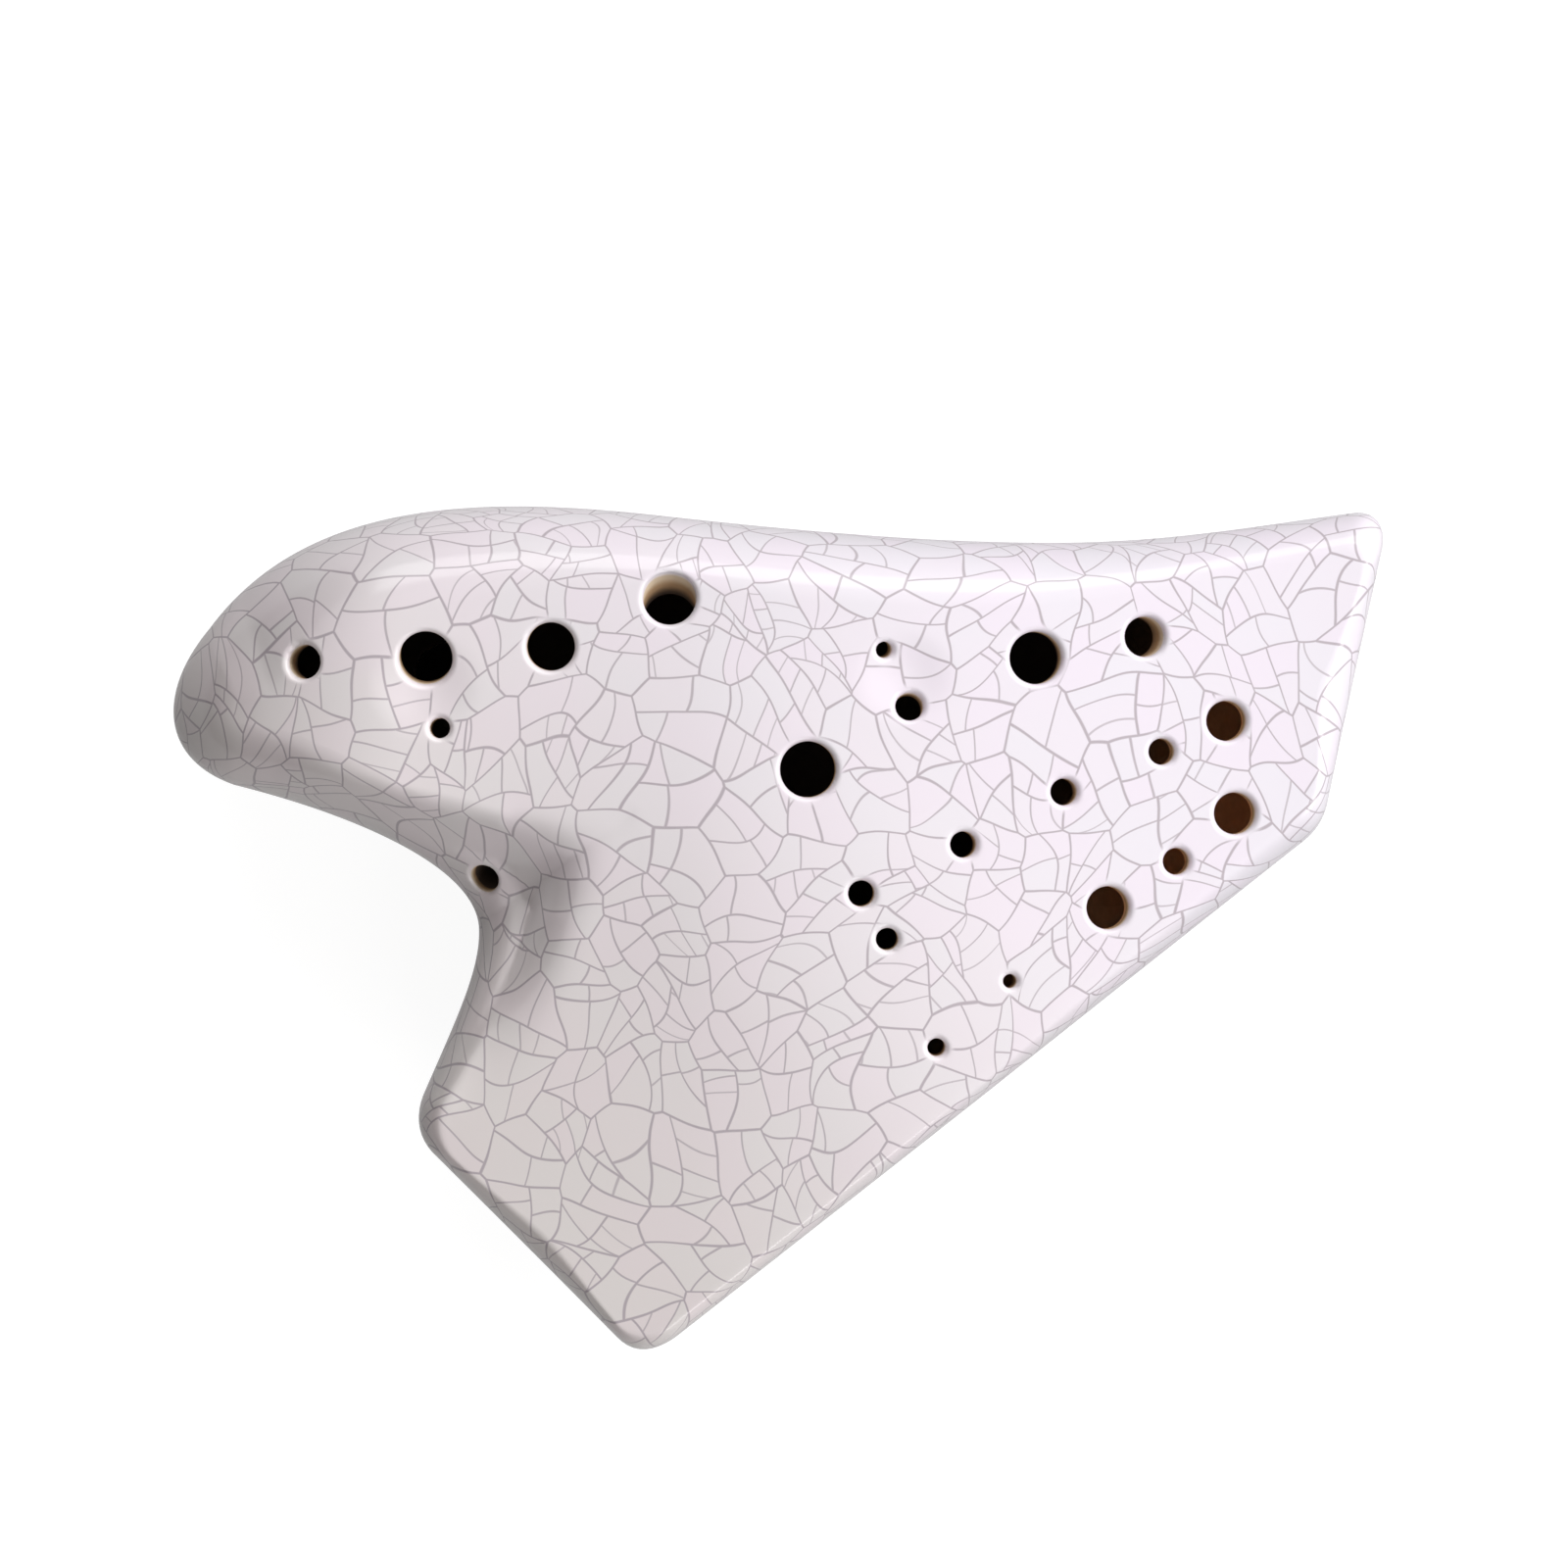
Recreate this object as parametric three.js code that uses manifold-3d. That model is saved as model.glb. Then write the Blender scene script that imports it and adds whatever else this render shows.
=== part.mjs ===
// A triple ocarina in glazed clay: three chambers side by side in one body, with one mouthpiece.
// Two pressed shells meet at a flat seam. Two clay walls between them part the low, middle and
// high chambers, and a clay block in front of each chamber closes its windway.
// Millimetres. The body lies on its back: +X runs from the round lobe to the blunt end, +Y
// towards the finger edge and +Z out of the finger-hole face. The origin is on the plane that
// it rests on, under the middle of its outline.

import * as THREE from 'three';
import { mergeVertices } from 'three/addons/utils/BufferGeometryUtils.js';
import Module from 'manifold-3d';

const wasm = await Module();
wasm.setup();

// Body
const bodyLength = 205;
const bodyWidth = 143;
const frontRise = 23; // highest part of the front above the seam
const backDepth = 21; // flat part of the back below the seam
const frontEndRise = 12.5; // the same two at the blunt end
const backEndDepth = 11;
const frontMouthRise = 10; // and at the mouth edge
const backMouthDepth = 7.5;
const frontLobeRise = 9; // and at the lobe's tip
const backLobeDepth = 13;
const frontMouthRun = 74; // from the mouth edge to where that side is full height
const backMouthRun = 46;
const frontEndRun = 118; // from the blunt end inwards
const backEndRun = 62;
const lobeRun = 40; // from the lobe's tip inwards
const runBlend = 4; // height over which a mouth run eases into the body

// Edge shoulders: how far in from the outline each side rounds over
const topShoulder = 12;
const lobeShoulder = 21;
const lobeTipShoulder = 12;
const neckShoulder = 9;
const mouthShoulder = 5;
const mouthFootShoulder = 4;
const slantedShoulder = 3;
const slantedEndShoulder = 5.5;
const endCornerShoulder = 6;
const endTopShoulder = 7.5;
const topCornerShoulder = 8;
const backTopShoulder = 14;
const backNeckShoulder = 12;
const backMouthShoulder = 4;
const backEdgeShoulder = 7;

// Low ledge on the front, along the web between the lobe and the mouthpiece
const ledgeWidth = 12;
const ledgeRun = 13; // from the ledge up to the body
const ledgeHeightShare = 0.5;
const creaseLedgeWidth = 7; // where it meets the body at a crease, under the lobe
const creaseRunAtTip = 4;
const creaseRunAtNeck = 11;
const creaseFrom = 6; // how far north the crease starts to show
const creaseFade = 14;

// Limits where the rim turns sharply: the least that a line to the spine counts as inward, and
// how much of the way to the spine a shoulder may take
const leastInwardShare = 0.5;
const widestShoulderShare = 0.85;

// Clay
const wall = 5;
const mouthWall = 6; // behind the mouth edge
const neckWall = 16; // round the strap passage
const dividerThickness = 3.5;
const seat = 0.3; // slip joint between a shell and what is set into it
const leastInnerRadius = 2;
const overrun = 2; // how far a cutter reaches past what it cuts

// Holes
const widestBore = 9.3; // right index finger of the low chamber
const leftThumbBore = 11.5;
const rightThumbBore = 10;
const strapBore = 4.8;
const strapInset = 4.4; // from the neck's edge to the middle of the strap hole
const strapTurn = 9.5; // from the neck's edge to where the front and back passages meet
const lipRadius = 0.8;

// Windways and windows
const windwayHeight = 1.5;
const windwayLength = 38; // mouth edge to window
const windowLength = 5.5;
const rampLength = 10;
const labiumEdge = 0.6; // clay left at the labium's tip
const lowWindwayWidth = 10;
const midWindwayWidth = 8;
const highWindwayWidth = 7;

// Facets
const mouthSteps = 8;
const endSteps = 12;
const lobeSteps = 10;
const lobeTipSteps = 8;
const cornerSteps = 3;
const edgeSteps = 6;
const skinShoulderSteps = 5;
const skinCrownSteps = 4;
const chamberShoulderSteps = 3;
const chamberCrownSteps = 3;
const boreSides = 14;
const lipSteps = 1;
const dividerSteps = 18;

const seamHeight = backDepth;
const halfLength = bodyLength / 2;
const up = new THREE.Vector3(0, 0, 1);

function mix(a, b, share) {
  return a + (b - a) * share;
}

function easeShare(share) {
  const t = Math.min(Math.max(share, 0), 1);
  return t * t * (3 - 2 * t);
}

// The lower of two heights, eased where they come within the blend of each other
function softLower(a, b, blend) {
  const overlap = Math.max(blend - Math.abs(a - b), 0);
  return Math.min(a, b) - (overlap * overlap) / (4 * blend);
}

// A place in the outline's box, from its lower left corner
function place([xShare, yShare]) {
  return new THREE.Vector2((xShare - 0.5) * bodyLength, (yShare - 0.5) * bodyWidth);
}

// Outline, anticlockwise. Each curve is a cubic, given as its two handles and its end.
const slantedStartShare = [0.416, 0.015];
const slantedEndShare = [0.932, 0.599];
const endCornerShares = [[0.943, 0.611], [0.949, 0.623], [0.953, 0.643]];
const endEdgeTopShare = [0.998, 0.942];
const topCornerShares = [[1.003, 0.969], [0.997, 0.991], [0.979, 0.991]];
const topHollowShares = [[0.911, 0.979], [0.829, 0.955], [0.728, 0.955]];
const topMiddleShares = [[0.635, 0.955], [0.538, 0.966], [0.416, 0.985]];
const topCrestShares = [[0.278, 1.008], [0.116, 1.019], [0.031, 0.854]];
const lobeTipShares = [[-0.015, 0.776], [-0.009, 0.698], [0.051, 0.668]];
const undersideShares = [[0.141, 0.636], [0.248, 0.576], [0.253, 0.501]];
const neckShares = [[0.255, 0.454], [0.238, 0.402], [0.209, 0.307]];
const mouthTopCornerShares = [[0.201, 0.283], [0.201, 0.256], [0.214, 0.235]];
const mouthFootShare = [0.368, 0.014];
const mouthFootCornerShares = [[0.380, -0.003], [0.395, -0.006], slantedStartShare];

// The forked spine that the shells are lofted to: one arm to the lobe, one to the blunt end
// and one to the mouth
const lobeSpineShare = [0.066, 0.753];
const middleSpineShare = [0.416, 0.669];
const endSpineShare = [0.902, 0.785];
const mouthSpineShare = [0.356, 0.194];
const lobeSpine = place(lobeSpineShare);
const middleSpine = place(middleSpineShare);
const endSpine = place(endSpineShare);
const mouthSpine = place(mouthSpineShare);
const endHalfwaySpine = endSpine.clone().lerp(middleSpine, 0.5);

function line(fromShare, toShare) {
  return new THREE.LineCurve(place(fromShare), place(toShare));
}

function cubic(fromShare, shares) {
  return new THREE.CubicBezierCurve(place(fromShare), ...shares.map(place));
}

const slantedMiddleShare = slantedStartShare.map((share, i) => mix(share, slantedEndShare[i], 0.5));

// Each stretch of the outline, with the part of the spine that it faces and, at its start and
// end, the shoulder on the front and on the back, the clay at the rim and how much ledge it has
const stretches = [
  {
    curve: line(slantedStartShare, slantedMiddleShare),
    steps: mouthSteps,
    spine: [mouthSpine, middleSpine],
    front: [slantedShoulder, slantedShoulder],
    back: [backMouthShoulder, backEdgeShoulder],
    clay: [wall, wall],
    ledge: [0, 0],
  },
  {
    curve: line(slantedMiddleShare, slantedEndShare),
    steps: endSteps,
    spine: [middleSpine, endSpine],
    front: [slantedShoulder, slantedEndShoulder],
    back: [backEdgeShoulder, backEdgeShoulder],
    clay: [wall, wall],
    ledge: [0, 0],
  },
  {
    curve: cubic(slantedEndShare, endCornerShares),
    steps: cornerSteps,
    spine: [endSpine, endSpine],
    front: [slantedEndShoulder, endCornerShoulder],
    back: [backEdgeShoulder, backEdgeShoulder],
    clay: [wall, wall],
    ledge: [0, 0],
  },
  {
    curve: line(endCornerShares[2], endEdgeTopShare),
    steps: edgeSteps,
    spine: [endSpine, endSpine],
    front: [endCornerShoulder, endTopShoulder],
    back: [backEdgeShoulder, backEdgeShoulder],
    clay: [wall, wall],
    ledge: [0, 0],
  },
  {
    curve: cubic(endEdgeTopShare, topCornerShares),
    steps: cornerSteps,
    spine: [endSpine, endSpine],
    front: [endTopShoulder, topCornerShoulder],
    back: [backEdgeShoulder, backEdgeShoulder],
    clay: [wall, wall],
    ledge: [0, 0],
  },
  {
    curve: cubic(topCornerShares[2], topHollowShares),
    steps: endSteps / 2,
    spine: [endSpine, endHalfwaySpine],
    front: [topCornerShoulder, topShoulder],
    back: [backEdgeShoulder, backTopShoulder],
    clay: [wall, wall],
    ledge: [0, 0],
  },
  {
    curve: cubic(topHollowShares[2], topMiddleShares),
    steps: endSteps / 2,
    spine: [endHalfwaySpine, middleSpine],
    front: [topShoulder, topShoulder],
    back: [backTopShoulder, backTopShoulder],
    clay: [wall, wall],
    ledge: [0, 0],
  },
  {
    curve: cubic(topMiddleShares[2], topCrestShares),
    steps: lobeSteps,
    spine: [middleSpine, lobeSpine],
    front: [topShoulder, lobeShoulder],
    back: [backTopShoulder, lobeShoulder],
    clay: [wall, wall],
    ledge: [0, 0],
  },
  {
    curve: cubic(topCrestShares[2], lobeTipShares),
    steps: lobeTipSteps,
    spine: [lobeSpine, lobeSpine],
    front: [lobeShoulder, lobeTipShoulder],
    back: [lobeShoulder, lobeTipShoulder],
    clay: [wall, wall],
    ledge: [0, 0],
  },
  {
    curve: cubic(lobeTipShares[2], undersideShares),
    steps: lobeSteps,
    spine: [lobeSpine, middleSpine],
    front: [lobeTipShoulder, neckShoulder],
    back: [lobeTipShoulder, backNeckShoulder],
    clay: [wall, neckWall],
    ledge: [0, 1],
  },
  {
    curve: cubic(undersideShares[2], neckShares),
    steps: mouthSteps,
    spine: [middleSpine, mouthSpine],
    front: [neckShoulder, mouthShoulder],
    back: [backNeckShoulder, backMouthShoulder],
    clay: [neckWall, mouthWall],
    ledge: [1, 0],
  },
  {
    curve: cubic(neckShares[2], mouthTopCornerShares),
    steps: cornerSteps,
    spine: [mouthSpine, mouthSpine],
    front: [mouthShoulder, mouthShoulder],
    back: [backMouthShoulder, backMouthShoulder],
    clay: [mouthWall, mouthWall],
    ledge: [0, 0],
  },
  {
    curve: line(mouthTopCornerShares[2], mouthFootShare),
    steps: edgeSteps,
    spine: [mouthSpine, mouthSpine],
    front: [mouthShoulder, mouthFootShoulder],
    back: [backMouthShoulder, backMouthShoulder],
    clay: [mouthWall, mouthWall],
    ledge: [0, 0],
  },
  {
    curve: cubic(mouthFootShare, mouthFootCornerShares),
    steps: cornerSteps,
    spine: [mouthSpine, mouthSpine],
    front: [mouthFootShoulder, slantedShoulder],
    back: [backMouthShoulder, backMouthShoulder],
    clay: [mouthWall, wall],
    ledge: [0, 0],
  },
];

// The outline's stations, each with its place on the rim, its place on the spine, the outline's
// inward normal there, and the values of its stretch
function stationsOf(stretch) {
  return Array.from({ length: stretch.steps }, (_, i) => {
    const share = i / stretch.steps;
    const tangent = stretch.curve.getTangentAt(share);
    return {
      rim: stretch.curve.getPointAt(share),
      spine: stretch.spine[0].clone().lerp(stretch.spine[1], share),
      inward: new THREE.Vector2(-tangent.y, tangent.x),
      front: mix(...stretch.front, share),
      back: mix(...stretch.back, share),
      clay: mix(...stretch.clay, share),
      ledge: mix(...stretch.ledge, share),
    };
  });
}

const stations = stretches.flatMap(stationsOf);

// The mouth's own frame: along its edge towards the foot, and inwards from the edge
const mouthTop = place(mouthTopCornerShares[2]);
const mouthFoot = place(mouthFootShare);
const mouthMiddle = mouthTop.clone().lerp(mouthFoot, 0.5);
const mouthHalfEdge = mouthTop.distanceTo(mouthFoot) / 2;
const mouthAlong = mouthFoot.clone().sub(mouthTop).normalize();
const mouthInward = new THREE.Vector2(-mouthAlong.y, mouthAlong.x);

function mouthPoint(inwards, along) {
  return mouthMiddle.clone()
    .addScaledVector(mouthInward, inwards)
    .addScaledVector(mouthAlong, along);
}

function mouthDistance(x, y) {
  const from = new THREE.Vector2(x, y).sub(mouthMiddle);
  const beside = Math.max(Math.abs(from.dot(mouthAlong)) - mouthHalfEdge, 0);
  return Math.hypot(from.dot(mouthInward), beside);
}

// How far each side of the body stands off the seam, away from its shoulders
const frontForm = {
  side: 1,
  full: frontRise,
  mouth: frontMouthRise,
  mouthRun: frontMouthRun,
  end: frontEndRise,
  endRun: frontEndRun,
  lobe: frontLobeRise,
};
const backForm = {
  side: -1,
  full: backDepth,
  mouth: backMouthDepth,
  mouthRun: backMouthRun,
  end: backEndDepth,
  endRun: backEndRun,
  lobe: backLobeDepth,
};

function crownOf(form, x, y) {
  const slope = (form.full - form.mouth) / form.mouthRun;
  const ramp = form.mouth + slope * mouthDistance(x, y);
  const endShare = easeShare((x - halfLength + form.endRun) / form.endRun);
  const intoLobeShare = Math.max((lobeRun - halfLength - x) / lobeRun, 0);
  const lobeShare = intoLobeShare * intoLobeShare;
  return softLower(form.full, ramp, runBlend)
    * mix(1, form.end / form.full, endShare)
    * mix(1, form.lobe / form.full, lobeShare);
}

// How full the section is at a distance in from the rim: a quarter ellipse over the shoulder,
// or on the ledge a lower one and then a rise to the body, which ends before the spine. Under
// the lobe the rise ends at a crease, which fades out southwards.
function fullnessShare(distance, shoulder, reach, ledge, y) {
  const q = Math.min(distance / shoulder, 1);
  const roundedShare = Math.sqrt(1 - (1 - q) * (1 - q));
  const creaseShare = easeShare((y - creaseFrom) / creaseFade);
  const creasedWidth = ledge * ledge * creaseLedgeWidth;
  const creasedRun = mix(creaseRunAtTip, creaseRunAtNeck, ledge);
  const flatWidth = Math.min(mix(ledge * ledgeWidth, creasedWidth, creaseShare), reach / 2);
  const run = Math.min(mix(ledgeRun, creasedRun, creaseShare), reach - flatWidth);
  const riseShare = Math.min(Math.max((distance - flatWidth) / run, 0), 1);
  const bentShare = riseShare * (2 - riseShare) * mix(1, riseShare, creaseShare);
  const lowShare = mix(1, ledgeHeightShare, ledge);
  return lowShare * roundedShare + (1 - lowShare) * bentShare;
}

// Rings of points from the rim to the spine for one side of the body. The depth is how far in
// from the outer skin the surface lies: zero for the skin, the wall for the chamber.
function loftRings(form, depth) {
  const rings = [];
  const shoulderSteps = depth > 0 ? chamberShoulderSteps : skinShoulderSteps;
  const crownSteps = depth > 0 ? chamberCrownSteps : skinCrownSteps;
  for (let k = 0; k <= shoulderSteps + crownSteps; k += 1) {
    rings.push(stations.map((station) => {
      const clay = depth > 0 ? station.clay + depth - wall : 0;
      const rimToSpine = station.spine.clone().sub(station.rim);
      const direction = rimToSpine.clone().normalize();
      const inset = clay / Math.max(direction.dot(station.inward), leastInwardShare);
      const reach = rimToSpine.length() - inset;
      const outerShoulder = form.side > 0 ? station.front : station.back;
      const innerShoulder = Math.max(outerShoulder - depth, leastInnerRadius);
      const ownShoulder = depth > 0 ? innerShoulder : outerShoulder;
      const shoulder = Math.min(ownShoulder, reach * widestShoulderShare);
      const turn = Math.min(k / shoulderSteps, 1) * Math.PI / 2;
      const crownShare = Math.max(k - shoulderSteps, 0) / crownSteps;
      const distance = mix(shoulder * (1 - Math.cos(turn)), reach, crownShare);
      const onSpine = k === shoulderSteps + crownSteps;
      const point = onSpine
        ? station.spine
        : station.rim.clone().addScaledVector(direction, inset + distance);
      const ledge = form.side > 0 && depth === 0 ? station.ledge : 0;
      const height = (crownOf(form, point.x, point.y) - depth)
        * fullnessShare(distance, shoulder, reach, ledge, point.y);
      return new THREE.Vector3(point.x, point.y, seamHeight + form.side * height);
    }));
  }
  return rings;
}

// Triangles between successive rings, facing up where the rings climb inwards
function skinTriangles(rings, flip) {
  const triangles = [];
  const add = (a, b, c) => triangles.push(...(flip ? [a, c, b] : [a, b, c]));
  for (let k = 0; k + 1 < rings.length; k += 1) {
    rings[k].forEach((low, i) => {
      const next = (i + 1) % rings[k].length;
      add(low, rings[k][next], rings[k + 1][next]);
      add(low, rings[k + 1][next], rings[k + 1][i]);
    });
  }
  return triangles;
}

// A flat face inside a ring, drawn from the ring to the spine
function capTriangles(ring, flip) {
  const spine = stations.map((station) => new THREE.Vector3(station.spine.x, station.spine.y, ring[0].z));
  return skinTriangles([ring, spine], flip);
}

// A closed mesh as a solid, with its shared vertices merged and flat triangles dropped
function solidOf(geometry) {
  const bare = new THREE.BufferGeometry();
  bare.setAttribute('position', geometry.getAttribute('position'));
  if (geometry.index) {
    bare.setIndex(geometry.index);
  }
  const merged = mergeVertices(bare);
  const index = merged.index.array;
  const kept = [];
  for (let i = 0; i < index.length; i += 3) {
    const [a, b, c] = index.slice(i, i + 3);
    if (a !== b && b !== c && c !== a) {
      kept.push(a, b, c);
    }
  }
  return new wasm.Manifold(new wasm.Mesh({
    numProp: 3,
    vertProperties: new Float32Array(merged.getAttribute('position').array),
    triVerts: new Uint32Array(kept),
  }));
}

function solidOfTriangles(points) {
  return solidOf(new THREE.BufferGeometry().setFromPoints(points));
}

// One side of the body as a solid that is flat at the seam, or past it by the skirt
function halfSolid(form, depth, skirt) {
  const rings = loftRings(form, depth);
  const foot = rings[0].map((point) => point.clone().addScaledVector(up, -form.side * skirt));
  const all = skirt > 0 ? [foot, ...rings] : rings;
  return solidOfTriangles([
    ...skinTriangles(all, form.side < 0),
    ...capTriangles(foot, form.side > 0),
  ]);
}

// The space inside both shells, less the depth of clay
function chamberSolid(depth) {
  return solidOfTriangles([
    ...skinTriangles(loftRings(frontForm, depth), false),
    ...skinTriangles(loftRings(backForm, depth), true),
  ]);
}

const frontSkin = skinTriangles(loftRings(frontForm, 0), false);
const backSkin = skinTriangles(loftRings(backForm, 0), true);

// The facet of a skin above or below a place, as the point there and the facet's normal
function skinAt(skin, at) {
  for (let i = 0; i < skin.length; i += 3) {
    const facet = new THREE.Triangle(...skin.slice(i, i + 3));
    const flat = new THREE.Triangle(...skin.slice(i, i + 3).map((p) => new THREE.Vector3(p.x, p.y, 0)));
    const spot = new THREE.Vector3(at.x, at.y, 0);
    if (flat.getArea() > 0 && flat.containsPoint(spot)) {
      const weights = flat.getBarycoord(spot, new THREE.Vector3());
      const point = new THREE.Vector3()
        .addScaledVector(facet.a, weights.x)
        .addScaledVector(facet.b, weights.y)
        .addScaledVector(facet.c, weights.z);
      return { point, normal: facet.getNormal(new THREE.Vector3()) };
    }
  }
  throw new Error('a hole lies outside the outline');
}

// A drilled bore with a rounded lip, along the skin's normal
function boreSolid({ point, normal }, bore, depth) {
  const radius = bore / 2;
  const profile = [new THREE.Vector2(0, -depth), new THREE.Vector2(radius, -depth)];
  for (let i = 0; i <= lipSteps; i += 1) {
    const turn = (i / lipSteps) * Math.PI / 2;
    profile.push(new THREE.Vector2(
      radius + lipRadius * (1 - Math.cos(turn)),
      lipRadius * (Math.sin(turn) - 1),
    ));
  }
  profile.push(new THREE.Vector2(radius + lipRadius, overrun));
  profile.push(new THREE.Vector2(0, overrun));
  const lathe = new THREE.LatheGeometry(profile, boreSides);
  lathe.applyQuaternion(new THREE.Quaternion().setFromUnitVectors(new THREE.Vector3(0, 1, 0), normal));
  lathe.translate(point.x, point.y, point.z);
  return solidOf(lathe);
}

// Finger holes and tuning vents: place in the outline's box, and bore as a share of the widest
const lowHoleShares = [
  [0.116, 0.811, 0.61], // left little finger
  [0.216, 0.814, 0.95], // left ring finger
  [0.227, 0.734, 0.36], // left ring finger, second hole
  [0.317, 0.828, 0.86], // left middle finger
  [0.413, 0.884, 0.94], // left index finger
  [0.525, 0.686, 1.00], // right index finger
  [0.607, 0.760, 0.50], // right middle finger
  [0.587, 0.824, 0.29], // right middle finger, second hole
  [0.710, 0.816, 0.94], // right ring finger
  [0.799, 0.841, 0.72], // right little finger
];
const midHoleShares = [
  [0.568, 0.542, 0.47], // right index finger
  [0.589, 0.489, 0.40], // right index finger, second hole
  [0.651, 0.599, 0.47], // right middle finger
  [0.733, 0.660, 0.48], // right ring finger
  [0.813, 0.707, 0.47], // right little finger
  [0.866, 0.743, 0.72], // tuning vent
];
const highHoleShares = [
  [0.629, 0.363, 0.32], // right index finger
  [0.689, 0.440, 0.25], // right middle finger
  [0.769, 0.525, 0.77], // right ring finger
  [0.825, 0.579, 0.48], // right little finger
  [0.873, 0.635, 0.75], // tuning vent
];
const leftThumbShare = [0.222, 0.800];
const rightThumbShare = [0.563, 0.735];
const strapEdgeShare = [0.247, 0.545]; // the neck's edge beside the strap hole

function frontBore([xShare, yShare, boreShare]) {
  return boreSolid(skinAt(frontSkin, place([xShare, yShare])), boreShare * widestBore, 2 * wall);
}

function thumbBore(share, bore) {
  return boreSolid(skinAt(backSkin, place(share)), bore, 2 * wall);
}

// The strap passage: a bore from each side of the neck, meeting inside its thick rim
const strapStation = stations.reduce((found, station) => {
  const strapPlace = place(strapEdgeShare);
  return station.rim.distanceTo(strapPlace) < found.rim.distanceTo(strapPlace) ? station : found;
});

function strapPassage(skin) {
  const mouthOfBore = strapStation.rim.clone().addScaledVector(strapStation.inward, strapInset);
  const turnOfBore = strapStation.rim.clone().addScaledVector(strapStation.inward, strapTurn);
  const { point } = skinAt(skin, mouthOfBore);
  const turn = new THREE.Vector3(turnOfBore.x, turnOfBore.y, seamHeight);
  const outward = point.clone().sub(turn).normalize();
  return boreSolid({ point, normal: outward }, strapBore, point.distanceTo(turn) + strapBore);
}

// A prism across the mouth's direction, from an outline in distance inwards and height
function mouthPrism(points, along, width) {
  const shape = new THREE.Shape(points.map(([inwards, z]) => new THREE.Vector2(inwards, z)));
  const geometry = new THREE.ExtrudeGeometry(shape, { depth: width, bevelEnabled: false });
  const start = mouthPoint(0, along - width / 2);
  geometry.applyMatrix4(new THREE.Matrix4().makeBasis(
    new THREE.Vector3(mouthInward.x, mouthInward.y, 0),
    up,
    new THREE.Vector3(mouthAlong.x, mouthAlong.y, 0),
  ).setPosition(start.x, start.y, 0));
  return solidOf(geometry);
}

// The back's outer and inner faces straight in from the mouth edge
function backOuter(inwards, along) {
  const point = mouthPoint(inwards, along);
  return seamHeight - crownOf(backForm, point.x, point.y);
}

function windwayVoid({ along, width }) {
  const slope = (backDepth - backMouthDepth) / backMouthRun;
  const roofAtMouth = seamHeight - backMouthDepth + wall + seat;
  const from = -overrun;
  const to = windwayLength + windowLength / 2;
  return mouthPrism([
    [from, roofAtMouth - slope * from - windwayHeight],
    [to, roofAtMouth - slope * to - windwayHeight],
    [to, roofAtMouth - slope * to],
    [from, roofAtMouth - slope * from],
  ], along, width);
}

function windowAndRamp({ along, width }) {
  const windowEnd = windwayLength + windowLength;
  const rampEnd = windowEnd + rampLength;
  const inner = backOuter(windowEnd, along) + wall;
  const below = -overrun;
  return mouthPrism([
    [windwayLength, below],
    [rampEnd, below],
    [rampEnd, backOuter(rampEnd, along)],
    [windowEnd, inner - labiumEdge],
    [windowEnd, backOuter(windwayLength, along) + wall + overrun],
    [windwayLength, backOuter(windwayLength, along) + wall + overrun],
  ], along, width);
}

// The three voices, from the neck side of the mouth edge to its foot, as shares of half its length
const lowWindwayShare = -0.76;
const midWindwayShare = 0;
const highWindwayShare = 0.72;
const voices = {
  low: { along: lowWindwayShare * mouthHalfEdge, width: lowWindwayWidth },
  mid: { along: midWindwayShare * mouthHalfEdge, width: midWindwayWidth },
  high: { along: highWindwayShare * mouthHalfEdge, width: highWindwayWidth },
};

// Each divider runs straight in between two windways, then along a curve to the blunt end
function betweenVoices(upper, lower) {
  return (upper.along + upper.width / 2 + lower.along - lower.width / 2) / 2;
}

const lowMidAlong = betweenVoices(voices.low, voices.mid);
const midHighAlong = betweenVoices(voices.mid, voices.high);
const lowMidShares = [
  [0.539, 0.609], [0.631, 0.681], [0.725, 0.739], [0.811, 0.776], [0.871, 0.802], [0.985, 0.842],
];
const midHighShares = [
  [0.614, 0.454], [0.673, 0.516], [0.755, 0.590], [0.823, 0.642], [0.874, 0.689], [0.975, 0.742],
];

function dividerPath(along, shares) {
  const knee = mouthPoint(windwayLength + windowLength, along);
  const bend = [mouthPoint(0, along), knee, ...shares.map(place)]
    .map((point) => new THREE.Vector3(point.x, point.y, 0));
  const curve = new THREE.CatmullRomCurve3(bend, false, 'centripetal');
  const kneeShare = 1 / (bend.length - 1);
  const path = [bend[0]];
  for (let i = 0; i <= dividerSteps; i += 1) {
    path.push(curve.getPoint(mix(kneeShare, 1, i / dividerSteps)));
  }
  return path;
}

// An upright wall along a path, as high as the body
function wallAlong(path, thickness) {
  const sides = path.map((point, i) => {
    const before = path[Math.max(i - 1, 0)];
    const after = path[Math.min(i + 1, path.length - 1)];
    const forward = after.clone().sub(before).normalize();
    const across = new THREE.Vector3(-forward.y, forward.x, 0).multiplyScalar(thickness / 2);
    return [point.clone().add(across), point.clone().sub(across)];
  });
  const outline = [...sides.map(([left]) => left), ...sides.map(([, right]) => right).reverse()];
  const shape = new THREE.Shape(outline.map((point) => new THREE.Vector2(point.x, point.y)));
  return solidOf(new THREE.ExtrudeGeometry(shape, { depth: frontRise + backDepth, bevelEnabled: false }));
}

const lowMidPath = dividerPath(lowMidAlong, lowMidShares);
const midHighPath = dividerPath(midHighAlong, midHighShares);
const seatedSpace = chamberSolid(wall + seat);
const mouthReach = 2 * mouthHalfEdge; // past both sides of the mouthpiece, short of the lobe

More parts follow.
